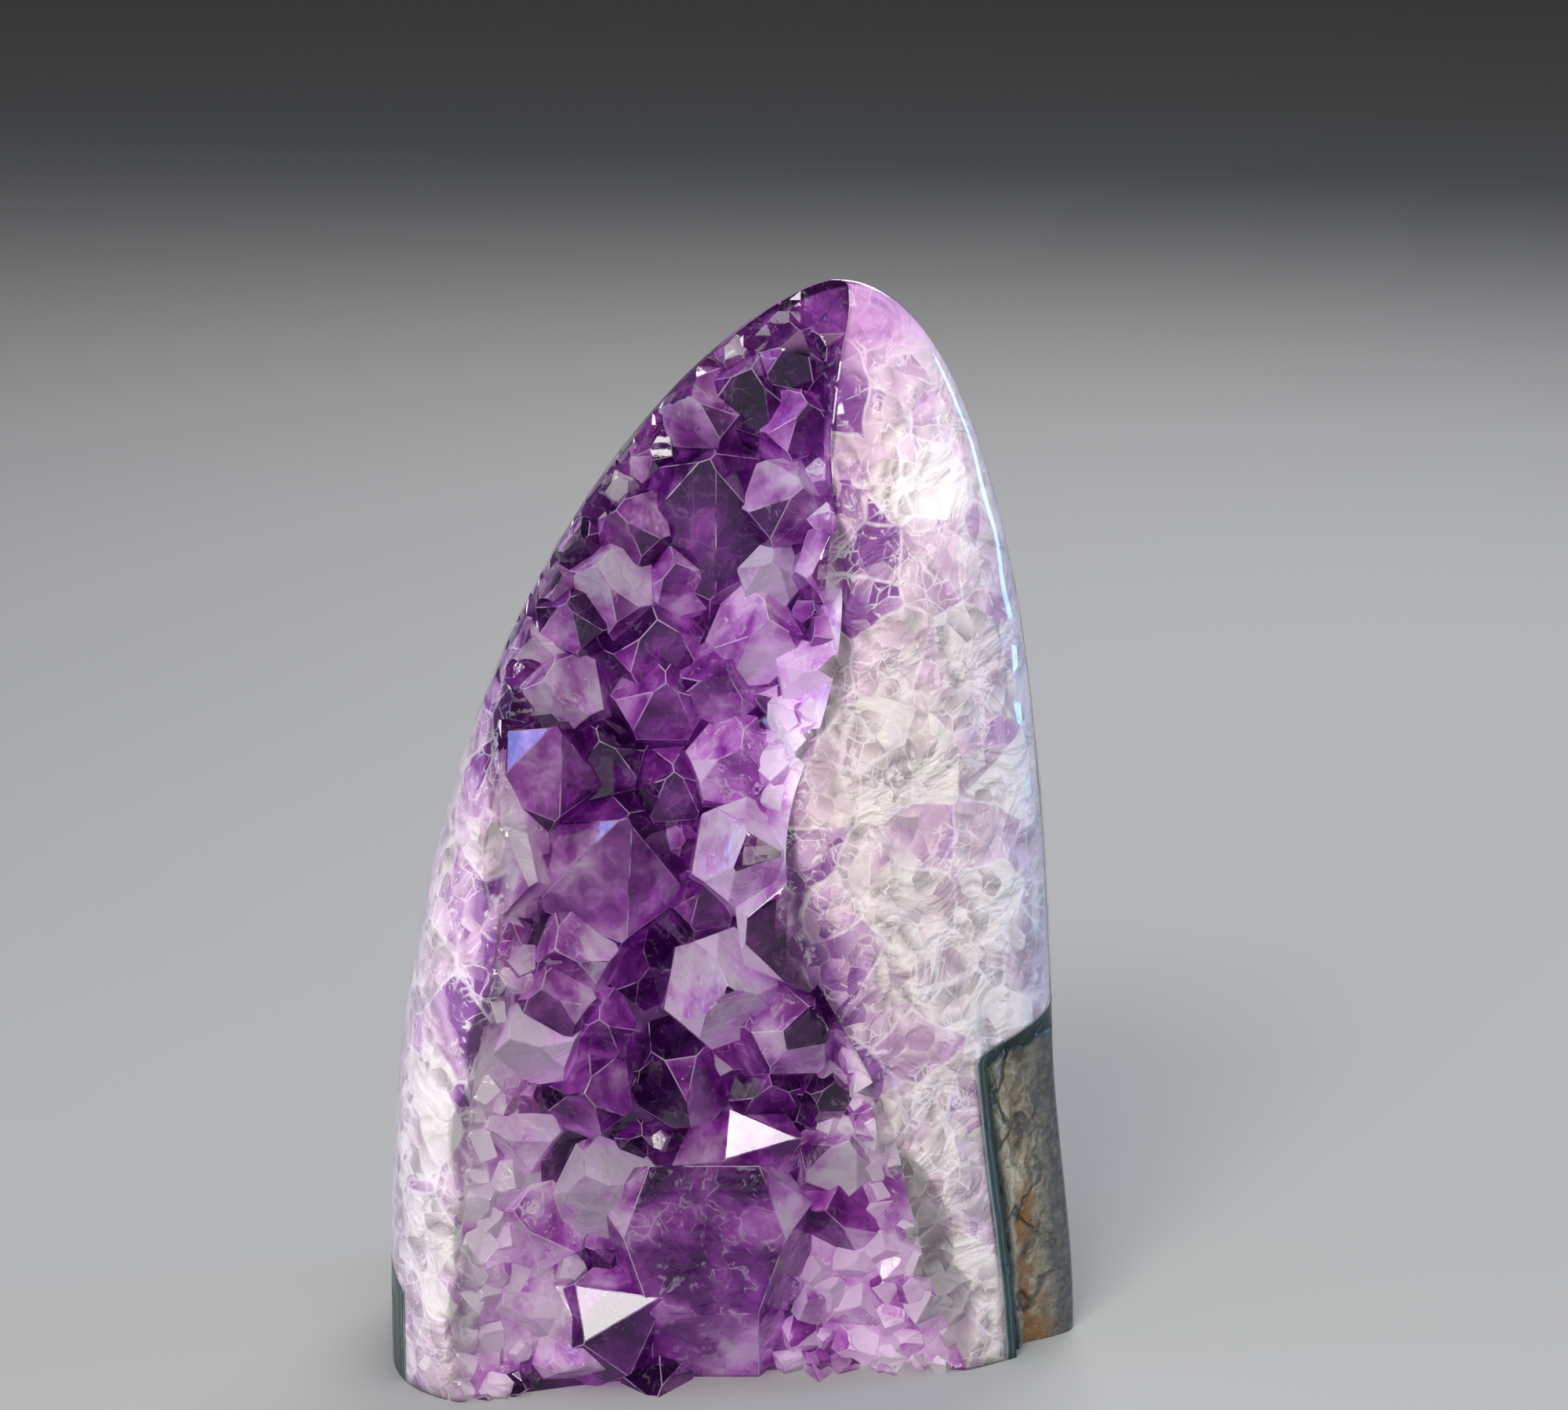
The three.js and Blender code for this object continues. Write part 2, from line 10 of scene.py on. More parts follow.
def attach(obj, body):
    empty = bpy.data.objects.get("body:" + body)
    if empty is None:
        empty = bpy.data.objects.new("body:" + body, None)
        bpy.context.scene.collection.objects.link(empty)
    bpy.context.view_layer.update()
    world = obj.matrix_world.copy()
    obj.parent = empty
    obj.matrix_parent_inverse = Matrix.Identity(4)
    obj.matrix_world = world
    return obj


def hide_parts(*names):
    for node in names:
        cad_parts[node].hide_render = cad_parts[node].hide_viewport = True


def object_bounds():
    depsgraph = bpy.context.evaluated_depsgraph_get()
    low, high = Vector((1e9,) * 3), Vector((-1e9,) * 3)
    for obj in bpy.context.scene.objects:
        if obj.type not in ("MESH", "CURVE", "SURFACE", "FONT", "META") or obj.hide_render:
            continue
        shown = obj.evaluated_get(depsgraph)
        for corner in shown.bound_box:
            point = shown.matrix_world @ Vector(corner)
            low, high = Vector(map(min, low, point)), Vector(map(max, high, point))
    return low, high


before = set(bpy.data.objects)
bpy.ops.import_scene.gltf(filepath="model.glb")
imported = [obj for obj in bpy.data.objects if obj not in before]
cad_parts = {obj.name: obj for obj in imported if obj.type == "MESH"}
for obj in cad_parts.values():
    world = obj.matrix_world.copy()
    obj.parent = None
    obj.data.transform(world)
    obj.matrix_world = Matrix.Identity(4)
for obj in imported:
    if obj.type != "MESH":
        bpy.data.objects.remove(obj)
cad_low, cad_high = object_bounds()

# The camera looks at the crystals' side from 14 degrees above the table, as close as a hand-held
# picture of a piece this size is taken. Its place is in metres.
CAMERA_AIM = Vector((0.0055, -0.0115, 0.074))
CAMERA_DISTANCE = 0.45
CAMERA_RISE = math.radians(14)
CAMERA_LENS = 97.2

camera = bpy.data.objects.new("camera", bpy.data.cameras.new("camera"))
bpy.context.scene.collection.objects.link(camera)
towards_camera = Vector((0, -math.cos(CAMERA_RISE), math.sin(CAMERA_RISE)))
camera.location = CAMERA_AIM + CAMERA_DISTANCE * towards_camera
camera.rotation_euler = (-towards_camera).to_track_quat("-Z", "Y").to_euler()
camera.data.lens = CAMERA_LENS
camera.data.clip_start = 0.01
bpy.context.scene.camera = camera

# A pale table top runs under the piece, in a dim grey room.
FLOOR_SIZE = 4.0
FLOOR_GREY = (0.36, 0.36, 0.355, 1)
ROOM_GREY = (0.46, 0.47, 0.48, 1)
ROOM_STRENGTH = 0.14

floor_mesh = bpy.data.meshes.new("floor")
half = FLOOR_SIZE / 2
floor_corners = [(-half, -half, 0), (half, -half, 0), (half, half, 0), (-half, half, 0)]
floor_mesh.from_pydata(floor_corners, [], [(0, 1, 2, 3)])
floor = bpy.data.objects.new("floor", floor_mesh)
bpy.context.scene.collection.objects.link(floor)

floor_paint = bpy.data.materials.new("pale_table")
floor_paint.use_nodes = True
floor_shader = floor_paint.node_tree.nodes["Principled BSDF"]
floor_shader.inputs["Base Color"].default_value = FLOOR_GREY
floor_shader.inputs["Roughness"].default_value = 0.7
floor_mesh.materials.append(floor_paint)

room = bpy.data.worlds.new("room")
room.use_nodes = True
room.node_tree.nodes["Background"].inputs["Color"].default_value = ROOM_GREY
room.node_tree.nodes["Background"].inputs["Strength"].default_value = ROOM_STRENGTH
bpy.context.scene.world = room
bpy.context.scene.view_settings.view_transform = "Standard"

# Soft panels light the piece: a window above and to the left, a small blue patch of sky low on
# either side, which shines in single faces, weak fills, two small lamps that make the crystals
# glint, and light from behind and above. Each row is a name, the azimuth and rise in degrees that
# the piece sees the panel at, with 0 on the camera's side, its width and height in metres, its
# power in watts and its colour.
LIGHT_DISTANCE, LIGHT_AIM = 0.8, Vector((0, 0, 0.06))
LIGHTS = [
    ("window", -20, 40, 0.32, 0.32, 5.0, (1.0, 0.98, 0.94)),
    ("sky_left", -83, 18.5, 0.22, 0.22, 1.4, (0.20, 0.38, 1.0)),
    ("sky_right", 104, 12, 0.12, 0.5, 2.6, (0.20, 0.50, 1.0)),
    ("left_fill", -66, 10, 0.4, 0.3, 0.9, (1.0, 0.93, 0.84)),
    ("side_fill", 70, 16, 0.3, 0.2, 0.6, (1.0, 0.95, 0.87)),
    ("back_light", 165, 40, 0.5, 0.3, 3.5, (1.0, 0.97, 0.95)),
    ("overhead", 20, 80, 0.4, 0.4, 2.2, (1.0, 1.0, 1.0)),
    ("glint_left", -38, 22, 0.06, 0.06, 0.25, (1.0, 0.98, 0.95)),
    ("glint_right", 34, 30, 0.05, 0.05, 0.15, (1.0, 0.98, 0.95)),
]


def light_panel(name, azimuth, rise, width, height, power, colour):
    """A soft rectangular light that faces the piece from this azimuth and rise."""
    data = bpy.data.lights.new(name, "AREA")
    data.shape = "RECTANGLE"
    data.size = width
    data.size_y = height
    data.energy = power
    data.color = colour
    panel = bpy.data.objects.new(name, data)
    turn, up = math.radians(azimuth), math.radians(rise)
    towards = Vector((math.sin(turn) * math.cos(up), -math.cos(turn) * math.cos(up), math.sin(up)))
    panel.location = LIGHT_AIM + LIGHT_DISTANCE * towards
    panel.rotation_euler = (-towards).to_track_quat("-Z", "Y").to_euler()
    bpy.context.scene.collection.objects.link(panel)


for light in LIGHTS:
    light_panel(*light)

# The crust of quartz and amethyst, grown as one from the geode's wall. It was sawn flat below,
# ground and polished round its edges, and its natural crystals stand in a trough in the front.
# The outline, in millimetres: each edge starts this far from the apex line and closes on it.
MM = 0.001
HEIGHT = 118.3
APEX_X, APEX_Y = 10.8, -3.0
LEFT = {"reach": 48.8, "power": 2.5, "root": 1.4}
RIGHT = {"reach": 24.7, "power": 2.8, "root": 2.2}
FRONT = {"reach": 23.5, "power": 2.5, "root": 1.6}
BACK = {"reach": 28.7, "power": 2.6, "root": 1.5}
FLARE_REACH, FLARE_HEIGHT = 2.5, 35
RIDGE_SHARE, WIDEST_SHARE = 0.3, 0.45
SQUARE_LEFT, SQUARE_RIGHT, SQUARE_BACK = 3.2, 1.7, 2.5
BAND = {"x": -8.4, "drift": 21, "from": 62, "half": 14.2, "top": 113, "taper": 45}
SWAY = {"half": 1.8, "middle": 0.8, "at": 35, "pitch": 50}
BAND_FOOT = {"half": 12, "middle": 6, "height": 50}
TIPS = {"depth": 6.5, "foot_depth": 2.5, "foot_height": 20, "top_depth": -2.5, "share": 0.45}
ROOT = {"depth": 6, "spread": 2.5, "share": 0.85, "cover": 1.2}
RIND = {"thick": 2, "cover": 7, "rim_inset": 1.5, "top_back": 4}
RIND_STEP = {"left": 12, "right": 37, "from": -0.2, "over": 0.7, "height": 4}
RIND_FOOT = {"bottom": 2.5, "left_rim": -21.8, "right_rim": -22.5, "right_rise": -0.1}
# The outline closes at the apex, so what is worked out from its width stops just below.
NEARLY = 0.995


def smoothstep(t):
    t = np.clip(t, 0, 1)
    return t * t * (3 - 2 * t)


def reach_at(edge, z):
    """How far an edge of the outline still is from the apex line at height z."""
    rise = np.clip(z / HEIGHT, 0, 1)
    return edge["reach"] * (1 - rise ** edge["power"]) ** (1 / edge["root"])


def section_at(z):
    """The outline's extremes, ridges and widest line at height z."""
    flare = FLARE_REACH * smoothstep(1 - z / FLARE_HEIGHT)
    s = {"left": APEX_X - reach_at(LEFT, z), "right": APEX_X + reach_at(RIGHT, z) + flare}
    s["front"] = APEX_Y - reach_at(FRONT, z)
    s["back"] = APEX_Y + reach_at(BACK, z)
    s["ridge"] = s["left"] + RIDGE_SHARE * (s["right"] - s["left"])
    s["middle"] = (s["left"] + s["right"]) / 2
    s["widest"] = s["front"] + WIDEST_SHARE * (s["back"] - s["front"])
    return s


def quarter_outline(s, side, to_back, from_ridge, steps):
    """One quarter of the outline as evenly spaced points, without its last one."""
    turn = np.linspace(0, 1, 241) * math.pi / 2
    if from_ridge:
        turn = turn[::-1]
    ridge = s["middle"] if to_back else s["ridge"]
    reach = ridge - s["left"] if side < 0 else s["right"] - ridge
    depth = (s["back"] if to_back else s["front"]) - s["widest"]
    front_power = SQUARE_LEFT if side < 0 else SQUARE_RIGHT
    power = SQUARE_BACK if to_back else front_power
    x = ridge + side * reach * np.clip(np.cos(turn), 0, 1) ** (2 / power)
    y = s["widest"] + depth * np.clip(np.sin(turn), 0, 1) ** (2 / power)
    along = np.concatenate([[0], np.cumsum(np.hypot(np.diff(x), np.diff(y)))])
    goals = along[-1] * np.arange(steps) / steps
    return np.column_stack([np.interp(goals, along, x), np.interp(goals, along, y)])


def outline_at(z, steps):
    """The whole outline at height z, anticlockwise seen from above."""
    s = section_at(z)
    quarters = [(1, True, False), (-1, True, True), (-1, False, False), (1, False, True)]
    return np.vstack([quarter_outline(s, *quarter, steps) for quarter in quarters])


def new_mesh(name, points, faces):
    """A mesh object from points in millimetres."""
    mesh = bpy.data.meshes.new(name)
    mesh.from_pydata((np.asarray(points) * MM).tolist(), [], faces)
    made = bpy.data.objects.new(name, mesh)
    bpy.context.scene.collection.objects.link(made)
    return made


# Rings stand closer together near the apex, and carving never reaches near the middle.
RING_CROWDING, MOST_CARVED = 1.6, 0.4


def lofted_body(name, rings, steps, carve=None):
    """A closed body lofted through the outline. carve(points, inward, section) moves points in."""
    around = 4 * steps
    points = []
    for i in range(rings):
        z = HEIGHT * (1 - (1 - i / rings) ** RING_CROWDING)
        ring = np.column_stack([outline_at(z, steps), np.full(around, z)])
        if carve:
            s = section_at(z)
            inward = np.array([s["middle"], s["widest"], z]) - ring
            room = np.linalg.norm(inward, axis=1)
            inward /= room[:, None]
            ring += inward * np.minimum(carve(ring, inward, s), MOST_CARVED * room)[:, None]
        points.append(ring)
    foot = section_at(0)
    ends = [(foot["middle"], foot["widest"], 0), (APEX_X, APEX_Y, HEIGHT)]
    points = np.vstack([*points, ends])
    faces = []
    for i in range(rings - 1):
        for j in range(around):
            a, b = i * around + j, i * around + (j + 1) % around
            faces.append((a, b, b + around, a + around))
    last, under = (rings - 1) * around, rings * around
    for j in range(around):
        k = (j + 1) % around
        faces += [(under, k, j), (last + j, last + k, under + 1)]
    return new_mesh(name, points, faces)


def front_at(x, z):
    """The y of the polished front at (x, z)."""
    s = section_at(np.clip(z, 0, NEARLY * HEIGHT))
    on_left = x < s["ridge"]
    reach = np.where(on_left, s["ridge"] - s["left"], s["right"] - s["ridge"])
    power = np.where(on_left, SQUARE_LEFT, SQUARE_RIGHT)
    across = np.clip(np.abs(x - s["ridge"]) / reach, 0, 1)
    return s["widest"] - (s["widest"] - s["front"]) * (1 - across**power) ** (1 / power)


def across_band(x, z, spread=0):
    """Where (x, z) lies across the natural band: 0 on its middle line and 1 on its border."""
    rise = np.maximum((z - BAND["from"]) / BAND["from"], 0)
    sway = np.cos(2 * math.pi * (z - SWAY["at"]) / SWAY["pitch"])
    low = smoothstep(1 - z / BAND_FOOT["height"])
    middle = BAND["x"] + BAND["drift"] * rise * rise + SWAY["middle"] * sway + BAND_FOOT["middle"] * low
    taper = np.minimum(1, np.sqrt(np.maximum(HEIGHT - z, 1) / BAND["taper"]))
    half = (BAND["half"] + SWAY["half"] * sway + BAND_FOOT["half"] * low) * taper
    return np.abs(x - middle) / (half + spread)


def middle_depth(z):
    """How far behind the polish the tips lie on the band's middle line."""
    foot = TIPS["foot_depth"]
    foot = foot + (TIPS["depth"] - foot) * smoothstep(z / TIPS["foot_height"])
    return foot + (TIPS["top_depth"] - TIPS["depth"]) * smoothstep((z - BAND["top"]) / 8 + 1)


def thickness_at(x, z):
    """What the piece measures in front of its widest line."""
    return section_at(np.clip(z, 0, NEARLY * HEIGHT))["widest"] - front_at(x, z)


def tip_depth(x, z):
    """How far behind the polished front the crystal tips lie."""
    depth = middle_depth(z) * (1 - across_band(x, z) ** 2)
    return np.minimum(depth, TIPS["share"] * thickness_at(x, z))


def root_at(x, z):
    """The floor of the trough that the crystals grow from. It always covers the rind."""
    spread = 1 - across_band(x, z, ROOT["spread"]) ** 2
    depth = np.minimum((middle_depth(z) + ROOT["depth"]) * spread, ROOT["share"] * thickness_at(x, z))
    covering = np.maximum(rind_at(x, z) - ROOT["cover"], front_at(x, z))
    return np.minimum(front_at(x, z) + depth, covering)


def rind_at(x, z):
    """The front of the agate rind, a bowl that steps forward at the foot."""
    s = section_at(np.clip(z, 0, 0.97 * HEIGHT))
    across = np.clip((x - s["middle"]) / (s["right"] - s["left"]) * 2, -1.1, 1.1)
    bottom = np.maximum(s["back"] - RIND["cover"], APEX_Y + RIND["top_back"])
    rim = s["widest"] - RIND["rim_inset"] + RIND["top_back"] * smoothstep(2 * z / HEIGHT - 1)
    upper = bottom + (rim - bottom) * across**2
    right_rim = RIND_FOOT["right_rim"] + RIND_FOOT["right_rise"] * np.maximum(z, 0)
    foot_rim = np.where(across < 0, RIND_FOOT["left_rim"], right_rim)
    foot = RIND_FOOT["bottom"] + (foot_rim - RIND_FOOT["bottom"]) * across**2
    to_right = smoothstep((across - RIND_STEP["from"]) / RIND_STEP["over"])
    step_at = RIND_STEP["left"] + (RIND_STEP["right"] - RIND_STEP["left"]) * to_right
    return foot + (upper - foot) * smoothstep((z - step_at) / RIND_STEP["height"] + 0.5)


SHEET = {"side": 46, "past": 6, "far": 80}


def block_behind(name, depth_at, columns=76, rows=112):
    """Everything behind the sheet y = depth_at(x, z), as a closed block."""
    far = SHEET["far"]
    xs = np.linspace(-SHEET["side"], SHEET["side"], columns + 1)
    zs = np.linspace(-SHEET["past"], HEIGHT + SHEET["past"], rows + 1)
    x, z = (grid.ravel() for grid in np.meshgrid(xs, zs))
    sheet = np.column_stack([x, depth_at(x, z), z])
    points = np.vstack([sheet, np.column_stack([x, np.full(len(x), far), z])])
    wide, behind = columns + 1, len(sheet)
    faces = []
    for j in range(rows):
        for i in range(columns):
            a = j * wide + i
            b, c, d = a + 1, a + wide + 1, a + wide
            faces += [(a, b, c, d), (d + behind, c + behind, b + behind, a + behind)]
    for i in range(columns):
        a, b = i, rows * wide + i
        faces.append((a, a + behind, a + behind + 1, a + 1))
        faces.append((b, b + 1, b + behind + 1, b + behind))
    for j in range(rows):
        a, b = j * wide, j * wide + columns
        faces.append((a, a + wide, a + wide + behind, a + behind))
        faces.append((b, b + behind, b + wide + behind, b + wide))
    return new_mesh(name, points, faces)


# Each crystal is a six-sided prism with a six-faced tip, every other face of it small. The large
# ones stand where they do in the real piece: x, z, how far the tip is from the band's tip surface,
# lean sideways and upwards, radius, spin in degrees, how small its small faces are, and how pale
# it is from 0 to 1. A ridged tip ends in a level edge, between a face that looks forward and one
# that looks up.
TIP_LEAN = math.radians(38.2)
RIDGED = (0.4, 0, 0.4, 0.4, 0, 0.4)
LARGE_CRYSTALS = [
    (-2.2, 100.9, -3.4, (0.05, 0.85), 9.2, 0, 0.05, 0.22),
    (-18, 74, -2.4, (0.35, 0.85), 6.4, 0, 0.05, 0.15),
    (-10.9, 64, -3.4, (0.35, 0.85), 8.5, 0, 0.04, 0.34),
    (-4.4, 29.5, -1.5, (0.1, -0.55), 5.4, 40, 0.18, 0.12),
    (7.5, 27.7, 0.2, (1.06, 0.45), 5.2, 96, 0.03, 0.4),
    (-3, 25.6, -2.5, (0, 1.73), 10, 30, RIDGED, 0.5),
    (-7.4, 11.4, -2, (1.29, 0.92), 5.8, 101, 0.03, 0.3),
    (-15.9, 4.3, -1, (0.2, -0.1), 6.6, 30, 0.18, 0.62),
    (2.5, 5.1, 0.5, (0.25, -0.15), 4.8, 8, 0.18, 0.12),
    (-20, 46.3, -1, (-0.2, 0.5), 4.2, 30, 0.18, 0.35),
    (-14.2, 90, -0.5, (-0.2, 0.6), 4.8, 8, 0.18, 0.8),
    (4.3, 90.2, -0.5, (0, 0.5), 3.6, 20, 0.12, 0.92),
    (3.9, 84.4, -1.5, (0.1, 0.5), 5.4, 35, 0.18, 0.72),
    (-17.3, 86.2, -0.5, (-0.1, 0.6), 3.6, 12, 0.1, 0.08),
    (-7.8, 84, -1, (0.1, 0.7), 4.8, 40, 0.2, 0.1),
    (-21.8, 82.4, 0, (-0.3, 0.5), 3.6, 50, 0.15, 0.72),
    (-19.7, 78.3, -0.5, (-0.2, 0.5), 4.8, 15, 0.2, 0.6),
    (-6.9, 77.5, -1.5, (0.1, 0.5), 4.8, 28, 0.12, 0.32),
    (-0.3, 78.3, -1, (0.2, 0.4), 4.4, 5, 0.25, 0.45),
    (-13.9, 71.5, -0.5, (0, 0.6), 4.4, 44, 0.15, 0.1),
    (1, 71.1, -1.5, (0.1, 0.5), 4.8, 18, 0.2, 0.62),
    (-6.1, 67.9, 0, (0.1, 0.6), 4, 33, 0.1, 0.1),
    (2.4, 61.8, -2.5, (0.1, 0.4), 5.6, 48, 0.18, 0.8),
    (6.2, 55.2, -3, (-0.1, 0.4), 6.2, 10, 0.18, 0.95),
    (-0.3, 46.3, -5, (0.1, 0.3), 5.8, 48, 0.22, 0.76),
    (9.2, 42.4, -1.5, (0.5, 0.4), 5, 22, 0.1, 0.55),
    (-18.6, 50.2, -1, (-0.2, 0.3), 4.8, 33, 0.2, 0.58),
    (-26.5, 60.8, 0.5, (-0.25, 0.4), 4.6, 18, 0.18, 0.72),
    (-23.4, 41.1, 0, (-0.2, 0.25), 5.6, 42, 0.2, 0.85),
    (-15.7, 34.1, -1, (0, 0.3), 4.6, 8, 0.15, 0.2),
    (-8.8, 46.9, 0, (0, 0.3), 4.2, 51, 0.18, 0.12),
    (-14.1, 41.7, 0, (0.1, 0.4), 3.8, 24, 0.12, 0.3),
    (-15.8, 24.8, -0.5, (-0.1, 0.5), 6.4, 40, 0.15, 0.86),
    (9.9, 19.9, -1, (-0.3, 0.2), 5.4, 12, 0.18, 0.4),
    (17.4, 20.4, 2.2, (0.15, 0.5), 8.4, 14, 0.2, 0.95),
    (-23.4, 21.2, 1.5, (-0.2, 0.4), 6.4, 5, 0.15, 0.86),
    (-24.7, 10.8, 1.5, (-0.25, 0.35), 6.4, 35, 0.2, 0.95),
    (13.8, 8.3, 1.5, (0.1, 0.3), 5.6, 18, 0.18, 0.82),
    (22.6, 10, 2.2, (0.3, 0.35), 6.4, 48, 0.2, 0.92),
    (-4.9, 107.6, -1, (-0.4, 0.6), 4.4, 30, 0.15, 0.5),
    (2.1, 110, 0, (0, 0.7), 4.6, 10, 0.18, 0.12),
    (8, 106.5, 0, (0.2, 0.6), 4, 44, 0.15, 0.38),
    (-0.3, 112.1, 0.5, (-0.2, 0.7), 3.6, 52, 0.2, 0.2),
    (7, 113.1, 0.5, (0.1, 0.7), 3.6, 16, 0.15, 0.22),
    (12, 91.7, 0.8, (0.2, 0.4), 4, 38, 0.2, 0.3),
    (-12.1, 95.5, 0.6, (-0.35, 0.6), 4, 20, 0.15, 0.3),
    (7.5, 98.1, -0.5, (0.3, 0.5), 4.6, 34, 0.12, 0.5),
    (-5.9, 89.7, -0.5, (0, 0.5), 4.4, 46, 0.18, 0.5),
    (10.4, 79.9, 0.8, (0.1, 0.3), 5, 9, 0.2, 0.86),
    (-26, 30.9, 1.5, (-0.2, 0.3), 5.6, 27, 0.15, 0.9),
    (4.2, 33.8, 0, (0.2, 0.3), 4.4, 36, 0.2, 0.25),
]
SCATTER = [
    {"count": 6, "radius": (3.6, 4.6), "room": 6.2, "out": (0, 1.5)},
    {"count": 10, "radius": (2.4, 3.4), "room": 4.4, "out": (0.5, 2.5)},
]
SCATTER_OVER_X, SCATTER_OVER_Z, SCATTER_TRIES = (-28, 24), (-2, 111), 4000
SCATTER_SEED = 2207


def dice(seed):
    """A repeatable run of numbers from 0 to 1."""
    state = seed
    while True:
        state = state * 48271 % 2147483647
        yield state / 2147483647


def scattered_crystals():
    """The smaller crystals between the large ones, with room for each."""
    run = dice(SCATTER_SEED)

    def within(low, high):
        return low + (high - low) * next(run)

    taken = []
    for x, z, _, lean, radius, *_ in LARGE_CRYSTALS:
        taken.append((x - 0.5 * lean[0] * radius, z - 0.5 * lean[1] * radius, 0.8 * radius))
    found = []
    for size in SCATTER:
        placed = tries = 0
        while tries < SCATTER_TRIES and placed < size["count"]:
            tries += 1
            x, z = within(*SCATTER_OVER_X), within(*SCATTER_OVER_Z)
            radius, out = within(*size["radius"]), within(*size["out"])
            lean = (within(-0.5, 0.5), within(0, 0.8))
            spin, uneven = within(0, 60), within(0.05, 0.3)
            room = size["room"] / 2
            free = all(math.hypot(a - x, b - z) > r + room for a, b, r in taken)
            if across_band(x, z, ROOT["spread"]) > 1 or not free:
                continue
            taken.append((x, z, room))
            found.append((x, z, out, lean, radius, spin, uneven, None))
            placed += 1
    return found


def plane_corners(normals, offsets):
    """The corners of the convex body inside these planes."""
    picks = np.array(list(itertools.combinations(range(len(normals)), 3)))
    three = normals[picks]
    fair = np.abs(np.linalg.det(three)) > 1e-3
    corners = np.linalg.solve(three[fair], offsets[picks[fair]][:, :, None])[:, :, 0]
    corners = corners[(corners @ normals.T <= offsets + 1e-5).all(1)]
    return np.unique(corners.round(4), axis=0)


def crystal_planes(axis, radius, spin, uneven=0.18, length=3.2, edge=0.0):
    """The planes of a six-sided prism with a six-faced tip at the origin, and its chamfers."""
    side = np.cross((0, 0, 1), axis)
    side /= np.linalg.norm(side)
    up = np.cross(axis, side)
    normals, offsets = [-axis], [length * radius]
    for k in range(6):
        angle = spin + k * math.pi / 3
        out = side * math.cos(angle) + up * math.sin(angle)
        normals += [out, axis * math.sin(TIP_LEAN) + out * math.cos(TIP_LEAN)]
        outside = uneven[k] if isinstance(uneven, tuple) else uneven * (k % 2)
        offsets += [radius, outside * radius]
    normals, offsets = np.array(normals), np.array(offsets)
    corners = plane_corners(normals, offsets)
    on = np.abs(corners @ normals.T - offsets) < 1e-3
    chamfers = []
    for i, j in itertools.combinations(range(1, len(normals)), 2):
        shared = corners[on[:, i] & on[:, j]]
        if edge and len(shared) > 1:
            between = normals[i] + normals[j]
            between /= np.linalg.norm(between)
            turn = math.acos(np.clip(normals[i] @ normals[j], -1, 1))
            chamfers.append((*between, between @ shared[0] - edge * math.tan(turn / 2) / 2))
    chamfers = np.array(chamfers).reshape(-1, 4)
    kinds = [0.0] * len(normals) + [1.0] * len(chamfers)
    return np.vstack([normals, chamfers[:, :3]]), np.append(offsets, chamfers[:, 3]), kinds


def crystal_shape(*sizes, **more):
    """Corners and triangles of one crystal, and the number of the plane that each lies on."""
    normals, offsets, kinds = crystal_planes(*sizes, **more)
    body = bmesh.new()
    for corner in plane_corners(normals, offsets):
        body.verts.new(corner)
    bmesh.ops.convex_hull(body, input=body.verts[:])
    bmesh.ops.recalc_face_normals(body, faces=body.faces[:])
    body.verts.index_update()
    corners = np.array([v.co[:] for v in body.verts])
    faces = [[v.index for v in face.verts] for face in body.faces]
    turned = np.array([face.normal[:] for face in body.faces])
    body.free()
    return corners, faces, (turned @ normals.T).argmax(1), np.array(kinds)


def standing(x, z, out, lean, radius, spin, uneven, _=None):
    """A listed crystal's tip, axis, radius, spin in radians, and unevenness."""
    axis = np.array((lean[0], -1, lean[1]))
    tip = np.array((x, float(front_at(x, z) + tip_depth(x, z)) + out, z))
    return tip, axis / np.linalg.norm(axis), radius, math.radians(spin), uneven


# Where the violet ends on the left and on the right, at these heights.
VIOLET_HEIGHTS = (0, 8, 16, 25, 35, 45, 55, 60, 66, 72, 80, 93, 104, 112, 116)
VIOLET_LEFT = (-24, -20, -18, -21, -22, -24, -21, -19, -19, -26, -27, -20, -20, -20, -20)
VIOLET_RIGHT = (13, 8, 7, 9, 12, 12, 5, 2, 2, 4, 8, 10, 11, 12, 20)
VIOLET_FADE = 4.0


def outside_violet(x, z):
    """How many millimetres (x, z) lies outside the violet middle of the crust."""
    left = np.interp(z, VIOLET_HEIGHTS, VIOLET_LEFT)
    right = np.interp(z, VIOLET_HEIGHTS, VIOLET_RIGHT)
    return np.maximum(left - x, x - right)


def paleness(x, z):
    """0 in the violet middle of the crust and 1 in the milky border."""
    return smoothstep(0.5 + outside_violet(x, z) / VIOLET_FADE)


# The edges are worn by this share of the radius. A small crystal's tone is by chance, and paler
# in the border, while a large one has its own.
EDGE_SHARE, WIDEST_EDGE = 0.035, 0.16
SMALL_TONE = {"chance": 0.7, "power": 1.5, "pale": 0.4}
TONE_SEED = 71
# The faces of the prisms lie in the shade between the tips, so they count as darker.
PRISM_FACES, PRISM_SHADE = slice(1, 13, 2), 0.4


